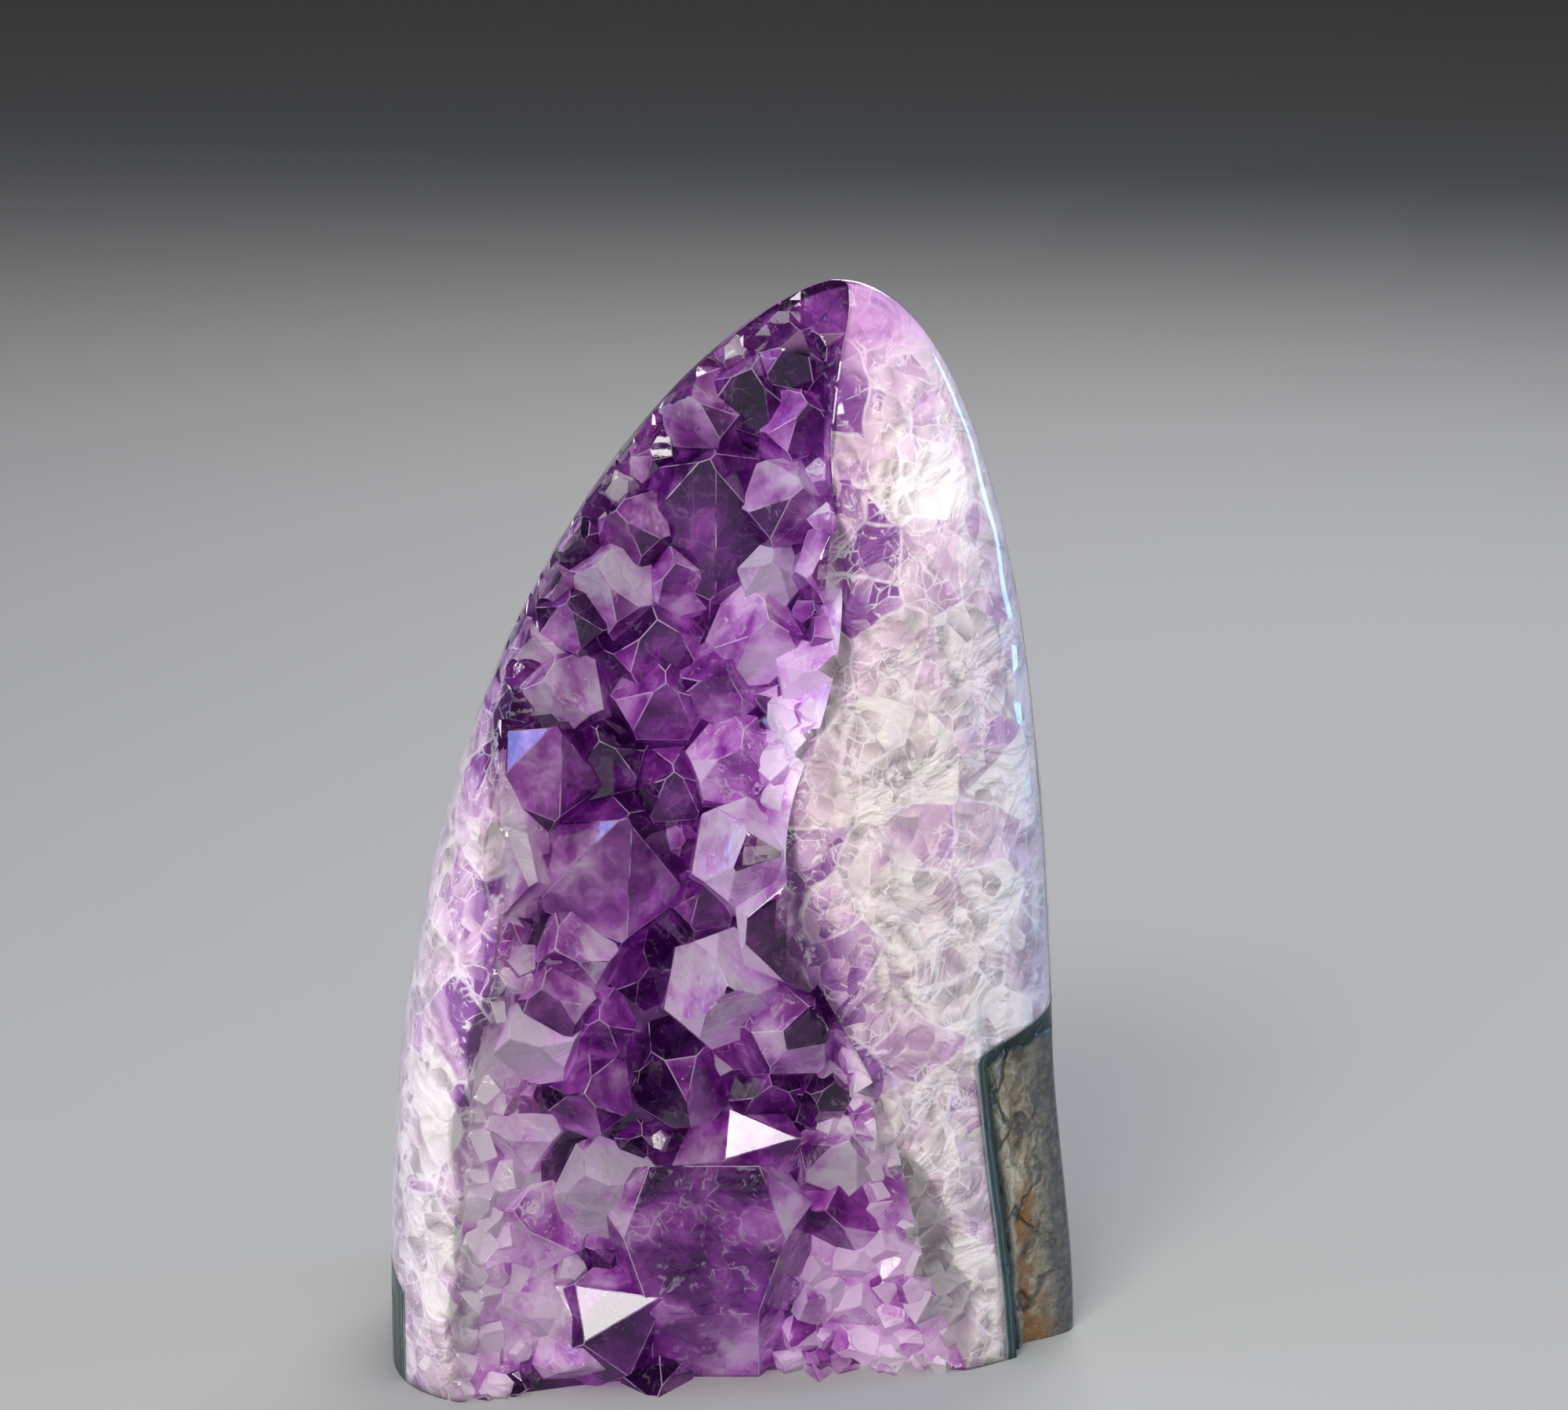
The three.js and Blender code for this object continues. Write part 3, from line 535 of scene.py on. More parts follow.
def add_crystals(name, wanted):
    """One mesh of closed crystals. Each face knows its crystal's tip, axis, size and tone."""
    points, faces, start = [], [], 0
    kept = {key: [] for key in ("tip", "axis", "size", "tone", "facet", "edge")}
    luck = dice(TONE_SEED)
    for crystal in wanted:
        tip, axis, radius, spin, uneven = standing(*crystal)
        edge = min(EDGE_SHARE * radius, WIDEST_EDGE)
        corners, sides, planes, kinds = crystal_shape(axis, radius, spin, uneven, edge=edge)
        points.append(corners + tip)
        faces += [[start + corner for corner in side] for side in sides]
        start += len(corners)
        tone = crystal[-1]
        if tone is None:
            chance = SMALL_TONE["chance"] * next(luck) ** SMALL_TONE["power"]
            tone = chance + SMALL_TONE["pale"] * float(paleness(tip[0], tip[2]))
        own = np.array([next(luck) for _ in kinds])
        own[PRISM_FACES] *= PRISM_SHADE
        values = (tip * MM, axis, radius * MM, tone, None, None)
        for key, value in zip(kept, values):
            if value is not None:
                kept[key] += [value] * len(sides)
        kept["facet"] += own[planes].tolist()
        kept["edge"] += kinds[planes].tolist()
    made = new_mesh(name, np.vstack(points), faces)
    for key, values in kept.items():
        wide = key in ("tip", "axis")
        layer = made.data.attributes.new(key, "FLOAT_VECTOR" if wide else "FLOAT", "FACE")
        layer.data.foreach_set("vector" if wide else "value", np.array(values, np.float32).ravel())
    return made


def read_vectors(items, key):
    """One vector of each item, such as a point's place or a face's normal."""
    values = np.empty(3 * len(items), np.float32)
    items.foreach_get(key, values)
    return values.reshape(-1, 3)


def read_points(mesh):
    """The points of a mesh in millimetres."""
    return read_vectors(mesh.vertices, "co").astype(float) / MM


def read_faces(mesh, key):
    """The number that each face carries."""
    values = np.empty(len(mesh.polygons), np.float32)
    mesh.attributes[key].data.foreach_get("value", values)
    return values


def store(mesh, key, values, domain="POINT"):
    """Keeps one number for each point, corner or face, in place of an earlier one."""
    kept = mesh.attributes.get(key) or mesh.attributes.new(key, "FLOAT", domain)
    kept.data.foreach_set("value", np.asarray(values, np.float32))


def mark_faces(made, key, value):
    """Gives every face of an object the same number."""
    store(made.data, key, np.full(len(made.data.polygons), value), "FACE")


def new_tree(name, inputs):
    """A Geometry Nodes tree with a geometry input and output and these named inputs."""
    tree = bpy.data.node_groups.new(name, "GeometryNodeTree")
    tree.interface.new_socket("Geometry", in_out="INPUT", socket_type="NodeSocketGeometry")
    for label, kind in inputs:
        tree.interface.new_socket(label, in_out="INPUT", socket_type="NodeSocket" + kind)
    tree.interface.new_socket("Geometry", in_out="OUTPUT", socket_type="NodeSocketGeometry")
    return tree


def feed(tree, socket, value):
    """Gives an input an output socket or a plain value."""
    if isinstance(value, bpy.types.NodeSocket):
        tree.links.new(value, socket)
    else:
        socket.default_value = value


def node(tree, kind, settings=None, **links):
    """Adds a node. A link is an output socket, a plain value, or a list of output sockets."""
    made = tree.nodes.new(kind)
    for key, value in (settings or {}).items():
        setattr(made, key, value)
    for key, value in links.items():
        label = key.replace("_", " ")
        socket = next(s for s in made.inputs if s.name == label and s.enabled)
        for one in value if isinstance(value, list) else [value]:
            feed(tree, socket, one)
    return made


def calc(tree, operation, *values):
    """A math node on sockets or plain numbers."""
    made = node(tree, "ShaderNodeMath", {"operation": operation})
    for socket, value in zip(made.inputs, values):
        feed(tree, socket, value)
    return made.outputs[0]


def vector_math(tree, operation, first, second):
    """A math node on two vectors, each a socket or a plain vector."""
    made = node(tree, "ShaderNodeVectorMath", {"operation": operation})
    feed(tree, made.inputs[0], first)
    feed(tree, made.inputs[1], second)
    return made.outputs["Value" if operation == "DOT_PRODUCT" else "Vector"]


def apply_tree(made, tree, values):
    """Runs a tree on an object with its named inputs, and keeps the result as a plain mesh."""
    modifier = made.modifiers.new(tree.name, "NODES")
    modifier.node_group = tree
    for item in tree.interface.items_tree:
        if item.in_out == "INPUT" and item.name in values:
            modifier[item.identifier] = values[item.name]
    bpy.context.view_layer.update()
    graph = bpy.context.evaluated_depsgraph_get()
    result = bpy.data.meshes.new_from_object(made.evaluated_get(graph), depsgraph=graph)
    made.modifiers.remove(modifier)
    result.name = made.data.name + "_mesh"
    made.data = result
    return made


# Between the large crystals the trough's floor is covered with small ones, a druse. Each grows
# out of the floor at its own tilt and size, and the neighbours grow into each other.
DRUSE_SEED = 11
DRUSE_KEEPS_OFF = 0.3
DRUSE_FLOOR = {"side": 36, "columns": 61, "low": 0.5, "below_top": 5, "rows": 96}
DRUSE_TONE = {"chance": 0.85, "power": 1.3, "pale": 0.65}
DRUSE_SHAPES = [(5, 0.1), (23, 0.35), (41, 0.2), (52, 0.45), (12, 0.28)]
druse_shapes = bpy.data.collections.new("druse_shapes")
for number, (spin, uneven) in enumerate(DRUSE_SHAPES):
    upright = np.array((0.0, 1.0, 0.0))
    shape = crystal_shape(upright, 1, math.radians(spin), uneven, 2.6, edge=0.05)
    corners, sides, planes, kinds = shape
    shape = new_mesh(f"druse_shape_{number}", corners, sides)
    facets = np.random.default_rng(number).uniform(0, 1, len(kinds))
    # Painted shade: the prism faces count as darker, as they lie in the shade between the tips.
    facets[PRISM_FACES] *= PRISM_SHADE
    store(shape.data, "facet", facets[planes], "FACE")
    store(shape.data, "edge", kinds[planes], "FACE")
    bpy.context.scene.collection.objects.unlink(shape)
    druse_shapes.objects.link(shape)


def trough_floor(name):
    """The part of the trough's floor that the small crystals cover, as a sheet facing forward."""
    side, high = DRUSE_FLOOR["side"], HEIGHT - DRUSE_FLOOR["below_top"]
    xs = np.linspace(-side, side, DRUSE_FLOOR["columns"])
    zs = np.linspace(DRUSE_FLOOR["low"], high, DRUSE_FLOOR["rows"])
    x, z = (grid.ravel() for grid in np.meshgrid(xs, zs))
    wide = len(xs)
    open_here = across_band(x, z, ROOT["spread"]) < 1.0
    floor_points = np.column_stack([x, root_at(x, z), z])
    for crystal in LARGE_CRYSTALS:
        tip, axis, radius, spin, uneven = standing(*crystal)
        normals, offsets, _ = crystal_planes(axis, radius, spin, uneven)
        outside = ((floor_points - tip) @ normals.T - offsets).max(1)
        open_here &= outside > DRUSE_KEEPS_OFF
    faces = []
    for j in range(len(zs) - 1):
        for i in range(wide - 1):
            a = j * wide + i
            if open_here[[a, a + 1, a + wide, a + wide + 1]].all():
                faces.append((a, a + 1, a + wide + 1, a + wide))
    return new_mesh(name, floor_points, faces)


def store_named(tree, geometry, name, kind, value, domain):
    kept = node(
        tree, "GeometryNodeStoreNamedAttribute", {"data_type": kind, "domain": domain},
        Geometry=geometry, Name=name, Value=value,
    )
    return kept.outputs[0]


def end_tree(tree, geometry, material):
    """Ends a tree: what it made becomes plain mesh of one material."""
    plain = node(tree, "GeometryNodeRealizeInstances", Geometry=geometry)
    painted = node(tree, "GeometryNodeSetMaterial", Geometry=plain.outputs[0], Material=material)
    node(tree, "NodeGroupOutput", Geometry=painted.outputs[0])


DENSEST = 900000.0
METRES_TO_MM = 1000
druse_tree = new_tree("grow_druse", [
    ("Shapes", "Collection"), ("Room", "Float"), ("Smallest", "Float"), ("Largest", "Float"),
    ("Tilt", "Float"), ("Seed", "Int"), ("Material", "Material"),
])
start = node(druse_tree, "NodeGroupInput").outputs
spots = node(
    druse_tree, "GeometryNodeDistributePointsOnFaces", {"distribute_method": "POISSON"},
    Mesh=start["Geometry"], Distance_Min=start["Room"], Density_Max=DENSEST, Seed=start["Seed"],
).outputs
scatter = node(
    druse_tree, "FunctionNodeRandomValue", {"data_type": "FLOAT_VECTOR"},
    Min=calc(druse_tree, "MULTIPLY", start["Tilt"], -1), Max=start["Tilt"], Seed=1,
)
along = vector_math(druse_tree, "ADD", spots["Normal"], scatter.outputs[0])
unit = {"operation": "NORMALIZE"}
straight = node(druse_tree, "ShaderNodeVectorMath", unit, Vector=along).outputs[0]
turned = node(druse_tree, "FunctionNodeAlignRotationToVector", {"axis": "Y"}, Vector=straight)
grown = node(
    druse_tree, "FunctionNodeRandomValue", {"data_type": "FLOAT"},
    Min=start["Smallest"], Max=start["Largest"], Seed=2,
).outputs["Value"]
rise = node(druse_tree, "ShaderNodeVectorMath", {"operation": "SCALE"}, Vector=straight, Scale=grown)
shapes = node(
    druse_tree, "GeometryNodeCollectionInfo",
    Collection=start["Shapes"], Separate_Children=True, Reset_Children=True,
)
lifted = node(druse_tree, "GeometryNodeSetPosition", Geometry=spots["Points"], Offset=rise.outputs[0])
here = node(druse_tree, "GeometryNodeInputPosition").outputs[0]
OWN = [("tip", "FLOAT_VECTOR", here), ("axis", "FLOAT_VECTOR", straight), ("size", "FLOAT", grown)]
planted = lifted.outputs[0]
for key, kind, value in OWN:
    planted = store_named(druse_tree, planted, "own_" + key, kind, value, "POINT")
planted = node(
    druse_tree, "GeometryNodeInstanceOnPoints", Points=planted, Instance=shapes.outputs[0],
    Pick_Instance=True, Rotation=turned.outputs[0],
    Scale=calc(druse_tree, "MULTIPLY", grown, METRES_TO_MM),
)
loose = node(druse_tree, "GeometryNodeRealizeInstances", Geometry=planted.outputs[0]).outputs[0]
for key, kind, _ in OWN:
    read = node(druse_tree, "GeometryNodeInputNamedAttribute", {"data_type": kind}, Name="own_" + key)
    loose = store_named(druse_tree, loose, key, kind, read.outputs[0], "FACE")
island = node(druse_tree, "GeometryNodeInputMeshIsland").outputs["Island Index"]
lucky = node(druse_tree, "FunctionNodeRandomValue", {"data_type": "FLOAT"}, ID=island, Seed=3)
loose = store_named(druse_tree, loose, "tone", "FLOAT", lucky.outputs["Value"], "FACE")
end_tree(druse_tree, loose, start["Material"])

amethyst = bpy.data.materials.new("amethyst")
amethyst.use_nodes = True
druse = apply_tree(trough_floor("druse"), druse_tree, {
    "Shapes": druse_shapes, "Room": 0.0026, "Smallest": 0.0011, "Largest": 0.0024, "Tilt": 0.55,
    "Seed": DRUSE_SEED, "Material": amethyst,
})
druse_x, _, druse_z = read_vectors(druse.data.attributes["tip"].data, "vector").T / MM
druse_tone = DRUSE_TONE["chance"] * read_faces(druse.data, "tone") ** DRUSE_TONE["power"]
druse_tone = druse_tone + DRUSE_TONE["pale"] * paleness(druse_x, druse_z)
store(druse.data, "tone", druse_tone, "FACE")

RIND_JOINT, CRUST_JOINT = 0.03, 0.02
crystals = add_crystals("standing_crystals", LARGE_CRYSTALS + scattered_crystals())
outline = lofted_body("outline", rings=150, steps=40)
mark_faces(outline, "polished", 1.0)
crust = block_behind("crystal_crust", root_at)
behind_rind = block_behind("behind_rind", lambda x, z: rind_at(x, z) - CRUST_JOINT)

fuse = new_tree("fuse_crust", [
    ("Crystals", "Object"), ("Druse", "Object"), ("Outline", "Object"), ("Behind", "Object"),
    ("Material", "Material"),
])


def body_of(tree, source):
    return node(tree, "GeometryNodeObjectInfo", Object=source).outputs["Geometry"]


def joined_or_cut(tree, operation, **bodies):
    exact = {"solver": "MANIFOLD", "operation": operation}
    return node(tree, "GeometryNodeMeshBoolean", exact, **bodies).outputs[0]


def trimmed(tree, geometry, inside, outside):
    """What of the geometry lies inside one body and outside another."""
    within = joined_or_cut(tree, "INTERSECT", Mesh=[geometry, body_of(tree, inside)])
    return joined_or_cut(tree, "DIFFERENCE", Mesh_1=within, Mesh_2=body_of(tree, outside))


start = node(fuse, "NodeGroupInput").outputs
parts = [start["Geometry"]]
for label in ("Crystals", "Druse"):
    island = node(fuse, "GeometryNodeInputMeshIsland").outputs["Island Index"]
    parted = node(
        fuse, "GeometryNodeSplitToInstances", {"domain": "FACE"},
        Geometry=body_of(fuse, start[label]), Group_ID=island,
    )
    parts.append(parted.outputs["Instances"])
grown = joined_or_cut(fuse, "UNION", Mesh=parts)
end_tree(fuse, trimmed(fuse, grown, start["Outline"], start["Behind"]), start["Material"])
apply_tree(crust, fuse, {
    "Crystals": crystals, "Druse": druse, "Outline": outline, "Behind": behind_rind,
    "Material": amethyst,
})


FACES_DOWN = -0.95


def smooth_where(mesh, chosen):
    """Shades the chosen faces smooth and the others flat. The sawn foot stays flat."""
    level = read_vectors(mesh.polygons, "normal")[:, 2] < FACES_DOWN
    mesh.polygons.foreach_set("use_smooth", chosen & ~level)


def keep_in_box(mesh):
    """Rounds off what would reach past the solid's box, by a few tenths of a millimetre."""
    inside = np.clip(read_vectors(mesh.vertices, "co"), cad_low, cad_high)
    mesh.vertices.foreach_set("co", inside.astype(np.float32).ravel())
    mesh.update()


def discard(*made):
    """Takes away objects that only helped to shape another."""
    for one in made:
        bpy.data.objects.remove(one)


RIM_DEPTH, RIM_FADE, RIM_BESIDE, RIM_BESIDE_FADE = 5, 4, 0.75, 0.1
MILK_BESIDE = 0.9
FAR_FROM_TIP = 3
BARE_TONE, BARE_PALENESS = 0.3, 0.55


def finish_crust(mesh):
    """What the crust's colouring reads. Each corner knows how far it is from its crystal's tip, in
    radii. Each point knows how far it is outside the violet, whether it is on the rim near the
    rind, and whether milky stone lies under it."""
    points = read_points(mesh)
    corner_point = np.empty(len(mesh.loops), np.int32)
    mesh.loops.foreach_get("vertex_index", corner_point)
    totals = np.empty(len(mesh.polygons), np.int32)
    mesh.polygons.foreach_get("loop_total", totals)
    of_face = np.repeat(np.arange(len(totals)), totals)
    tips, axes = (read_vectors(mesh.attributes[key].data, "vector") for key in ("tip", "axis"))
    sizes = read_faces(mesh, "size")
    below = tips[of_face] / MM - points[corner_point]
    growth = (below * axes[of_face]).sum(1) / np.maximum(sizes[of_face] / MM, 0.1)
    store(mesh, "growth", np.where(sizes[of_face] > 0, growth, FAR_FROM_TIP), "CORNER")
    face_point = corner_point[np.concatenate([[0], np.cumsum(totals)[:-1]])]
    bare = BARE_TONE + BARE_PALENESS * paleness(*points[face_point][:, [0, 2]].T)
    tones = np.where(sizes > 0, read_faces(mesh, "tone"), bare)
    store(mesh, "tone", tones, "FACE")
    x, y, z = points.T
    s = section_at(z)
    store(mesh, "outside", outside_violet(x, z))
    beside = np.abs(x - s["middle"]) / (s["right"] - s["left"]) * 2
    far_back = smoothstep((y - s["widest"] + RIM_DEPTH) / RIM_FADE)
    store(mesh, "rim", far_back * smoothstep((beside - RIM_BESIDE) / RIM_BESIDE_FADE))
    beside_band = across_band(x, z, ROOT["spread"])
    store(mesh, "over_milk", smoothstep((beside_band - MILK_BESIDE) / (1 - MILK_BESIDE)))
    smooth_where(mesh, read_faces(mesh, "polished") > 0.5)
    for key in ("tip", "axis", "size"):
        mesh.attributes.remove(mesh.attributes[key])


finish_crust(crust.data)
keep_in_box(crust.data)
discard(crystals, druse, outline, behind_rind)
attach(crust, "root")
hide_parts("amethyst_crystals")

# The amethyst itself is clear, and violet iron colours it through, most of all at the tips.
# Colours are what a face lets through, and the depth of the stone adds the rest. Where the border's
# crystals were ground across, each shows as a cell, violet by the band and milky further out.
VIOLET_TINTS = [
    (0.0, (0.014, 0.001, 0.026)), (0.2, (0.05, 0.004, 0.075)), (0.36, (0.14, 0.016, 0.18)),
    (0.52, (0.33, 0.07, 0.37)), (0.68, (0.62, 0.30, 0.65)), (0.84, (0.86, 0.68, 0.86)),
    (1.0, (0.95, 0.90, 0.94)),
]
CUT_TINTS = [
    (0.0, (0.80, 0.79, 0.70)), (0.12, (0.34, 0.31, 0.29)), (0.24, (0.80, 0.76, 0.70)),
    (0.38, (0.38, 0.30, 0.33)), (0.52, (0.74, 0.60, 0.66)), (0.68, (0.36, 0.21, 0.35)),
    (0.8, (0.56, 0.36, 0.56)), (1.0, (0.16, 0.04, 0.22)),
]
# The pale edge tint is a painted highlight on the crystals' chamfered edges.
WHITE_CHIP, WHITE_SEAM, EDGE_HIGHLIGHT_TINT = (0.96, 0.90, 0.95), (0.95, 0.93, 0.91), (0.80, 0.62, 0.84)
CREAM_RIM, LILAC_CAP = (0.66, 0.64, 0.55), (0.72, 0.38, 0.68)
CAP_FROM, CAP_TO, CAP_UNEVEN = 0.113, 0.117, 0.006
CUT_CELLS, CUT_CHIPS = {"Scale": 140.0, "Bend": 0.0022}, {"Scale": 390.0, "Bend": 0.0016}
ABSORBED, ABSORPTION = (0.62, 0.13, 0.71, 1), 85.0


def ramp(tree, factor, stops):
    """A colour ramp of (place, colour) stops."""
    made = node(tree, "ShaderNodeValToRGB", Fac=factor)
    band = made.color_ramp
    while len(band.elements) < len(stops):
        band.elements.new(0.5)
    for element, (at, colour) in zip(band.elements, stops):
        element.position = at
        element.color = (*colour, 1)
    return made.outputs["Color"]


def blend(tree, factor, first, second):
    """A mix of two colours, each a socket or a plain colour."""
    made = tree.nodes.new("ShaderNodeMix")
    made.data_type = "RGBA"
    for socket, value in ((made.inputs[0], factor), (made.inputs[6], first), (made.inputs[7], second)):
        feed(tree, socket, (*value, 1) if isinstance(value, tuple) else value)
    return made.outputs[2]


def spread(tree, value, low, high):
    """0 below low and 1 above high, smooth between."""
    smooth = {"interpolation_type": "SMOOTHSTEP"}
    made = node(tree, "ShaderNodeMapRange", smooth, Value=value, From_Min=low, From_Max=high)
    return made.outputs["Result"]


def attribute(tree, name):
    """A number that the mesh carries."""
    return node(tree, "ShaderNodeAttribute", {"attribute_name": name}).outputs["Fac"]


def inverse(tree, value):
    return calc(tree, "SUBTRACT", 1, value)


def product(tree, *values):
    """All the values multiplied."""
    made = values[0]
    for value in values[1:]:
        made = calc(tree, "MULTIPLY", made, value)
    return made


def place(tree):
    """The place in the object's own coordinates, in metres."""
    return node(tree, "ShaderNodeTexCoord").outputs["Object"]


def noise(tree, scale, detail=3.0, distortion=0.0, rough=0.55, where=None):
    """A cloudy number round a half, at this place or at the object's own."""
    made = node(
        tree, "ShaderNodeTexNoise", Vector=place(tree) if where is None else where, Scale=scale,
        Detail=detail, Distortion=distortion, Roughness=rough,
    )
    return made.outputs["Fac"]


def cells(tree, where, scale, feature):
    """A cell pattern's outputs: the cells, or with DISTANCE_TO_EDGE their edges."""
    made = node(tree, "ShaderNodeTexVoronoi", {"feature": feature}, Vector=where, Scale=scale)
    return made.outputs


def new_group(name, inputs, outputs):
    """A shader node group with a Vector input, these plain inputs, and these outputs."""
    group = bpy.data.node_groups.new(name, "ShaderNodeTree")
    group.interface.new_socket("Vector", in_out="INPUT", socket_type="NodeSocketVector")
    for label in inputs:
        group.interface.new_socket(label, in_out="INPUT", socket_type="NodeSocketFloat")
    for label in outputs:
        kind = "NodeSocketColor" if label == "Color" else "NodeSocketFloat"
        group.interface.new_socket(label, in_out="OUTPUT", socket_type=kind)
    return group, node(group, "NodeGroupInput").outputs


def bent(tree, where, scale, reach):
    """The place moved by a noise, by about reach metres."""
    stir = node(tree, "ShaderNodeTexNoise", Vector=where, Scale=scale, Detail=2.0).outputs["Color"]
    middle = vector_math(tree, "SUBTRACT", stir, (0.5, 0.5, 0.5))
    by = node(tree, "ShaderNodeVectorMath", {"operation": "SCALE"}, Vector=middle, Scale=reach)
    return vector_math(tree, "ADD", where, by.outputs[0])


def fracture_group():
    """Healed cracks, white flecks and clouds inside quartz. The cracks come in patches."""
    inputs, outputs = ["Crack Scale", "Fleck Scale"], ["Cracks", "Flecks", "Clouds"]
    group, start = new_group("healed_fractures", inputs, outputs)
    moved = bent(group, start["Vector"], 300.0, 0.004)
    crack = cells(group, moved, start["Crack Scale"], "DISTANCE_TO_EDGE")["Distance"]
    line = inverse(group, spread(group, crack, 0.0, 0.06))
    half_scale = product(group, start["Crack Scale"], 0.5)
    patches = noise(group, half_scale, 2.0, rough=0.5, where=start["Vector"])
    cracks = product(group, line, spread(group, patches, 0.48, 0.62))
    flecks = spread(group, noise(group, start["Fleck Scale"], 6.0, 1.2, 0.72, moved), 0.56, 0.63)
    clouds = noise(group, half_scale, 4.0, rough=0.5, where=moved)
    node(group, "NodeGroupOutput", Cracks=cracks, Flecks=flecks, Clouds=clouds)
    return group


def cut_crystal_group():
    """Crystals cut across: a value for each, its seam, and a gradient across it that the colour
    uses as painted shade, as if each cell were a tilted face.
    """
    group, start = new_group("cut_crystals", ["Scale", "Bend"], ["Cell", "Seam", "Slope"])
    moved = bent(group, start["Vector"], 170.0, start["Bend"])
    cell = cells(group, moved, start["Scale"], "F1")
    edge = cells(group, moved, start["Scale"], "DISTANCE_TO_EDGE")["Distance"]
    luck = node(group, "ShaderNodeSeparateColor", Color=cell["Color"]).outputs["Red"]
    away = vector_math(group, "SUBTRACT", moved, cell["Position"])
    lean = vector_math(group, "SUBTRACT", cell["Color"], (0.5, 0.5, 0.5))
    tilt_shade = product(group, vector_math(group, "DOT_PRODUCT", away, lean), start["Scale"])
    seam = inverse(group, spread(group, edge, 0.01, 0.035))
    node(group, "NodeGroupOutput", Cell=luck, Seam=seam, Slope=tilt_shade)
    return group


healed_fractures = fracture_group()
cut_crystals = cut_crystal_group()


def use_group(tree, group, where, **values):
    """The outputs of a shared group, at this place and with these inputs."""
    made = node(tree, "ShaderNodeGroup", {"node_tree": group}, Vector=where, **values)
    return list(made.outputs)


def cut_face_group():
    """The colour of quartz that was ground across, with its white seams, cream rim and a painted
    shade across each cell and chip.
    """
    group, start = new_group("cut_face", ["Outside", "Rim"], ["Color"])
    where = start["Vector"]
    cell, seam, tilt_shade = use_group(group, cut_crystals, where, **CUT_CELLS)
    chip, chip_seam, chip_tilt_shade = use_group(group, cut_crystals, where, **CUT_CHIPS)
    cracks, flecks, veils = use_group(
        group, healed_fractures, where, Crack_Scale=420.0, Fleck_Scale=430.0
    )
    milky = spread(group, start["Outside"], -3.0, 13.0)
    shade = product(group, cell, calc(group, "MULTIPLY_ADD", milky, -0.3, 0.95))
    shade = calc(group, "ADD", shade, calc(group, "MULTIPLY_ADD", milky, -0.58, 0.54))
    shade = calc(group, "ADD", shade, calc(group, "MULTIPLY_ADD", chip, 0.36, -0.18))
    # Painted shade: each cell and chip is darker towards one side, as if it were a tilted face lit from
    # one side.
    shade = calc(group, "MULTIPLY_ADD", tilt_shade, 0.6, shade)
    shade = calc(group, "MULTIPLY_ADD", chip_tilt_shade, 0.3, shade)
    tint = ramp(group, shade, CUT_TINTS)
    chip_seam = product(group, chip_seam, spread(group, veils, 0.45, 0.6))
    faint_seam = product(group, seam, spread(group, veils, 0.32, 0.6))
    seams = calc(group, "MAXIMUM", faint_seam, cracks)
    white = calc(group, "MAXIMUM", seams, calc(group, "MAXIMUM", flecks, chip_seam))
    tint = blend(group, product(group, white, 0.72), tint, WHITE_SEAM)
    tint = blend(group, product(group, start["Rim"], 0.7), tint, CREAM_RIM)
    node(group, "NodeGroupOutput", Color=tint)
    return group


cut_face = cut_face_group()
tree = amethyst.node_tree
shader = tree.nodes["Principled BSDF"]
shader.inputs["Roughness"].default_value = 0.04
shader.inputs["IOR"].default_value = 1.544
shader.inputs["Transmission Weight"].default_value = 0.62

# A crystal's own tone, its faces' own luck with painted shade on the prism faces, the distance
# from its tip and the clouds in it make its tint. The pale ones are full of chips and healed cracks.
own_tone, polished = attribute(tree, "tone"), attribute(tree, "polished")
cracks, flecks, veils = use_group(
    tree, healed_fractures, place(tree), Crack_Scale=330.0, Fleck_Scale=520.0
)
tone = calc(tree, "SUBTRACT", own_tone, 0.22)
tone = calc(tree, "MULTIPLY_ADD", attribute(tree, "facet"), 0.56, tone)
tone = calc(tree, "MULTIPLY_ADD", spread(tree, attribute(tree, "growth"), 0.3, 2.4), 0.16, tone)
tone = calc(tree, "MULTIPLY_ADD", calc(tree, "SUBTRACT", veils, 0.5), 1.5, tone)
natural = ramp(tree, tone, VIOLET_TINTS)
broken = spread(tree, own_tone, 0.35, 0.75)
chips = product(
    tree, calc(tree, "MULTIPLY_ADD", broken, 0.85, 0.1), calc(tree, "MAXIMUM", cracks, flecks)
)
natural = blend(tree, chips, natural, WHITE_CHIP)
# Painted highlight: the chamfered edges are tinted pale in patches, as if they caught the light.
painted_edge_highlight = product(tree, attribute(tree, "edge"), spread(tree, noise(tree, 260, 3), 0.38, 0.56))
natural = blend(tree, product(tree, painted_edge_highlight, 0.8), natural, EDGE_HIGHLIGHT_TINT)
border = {"Outside": attribute(tree, "outside"), "Rim": attribute(tree, "rim")}
ground = use_group(tree, cut_face, place(tree), **border)[0]
over_milk = product(tree, polished, attribute(tree, "over_milk"))
stone = blend(tree, over_milk, natural, ground)
height = node(tree, "ShaderNodeSeparateXYZ", Vector=place(tree)).outputs["Z"]
height = calc(tree, "MULTIPLY_ADD", veils, CAP_UNEVEN, height)
cap = product(tree, spread(tree, height, CAP_FROM, CAP_TO), polished, 0.6)
tree.links.new(blend(tree, cap, stone, LILAC_CAP), shader.inputs["Base Color"])

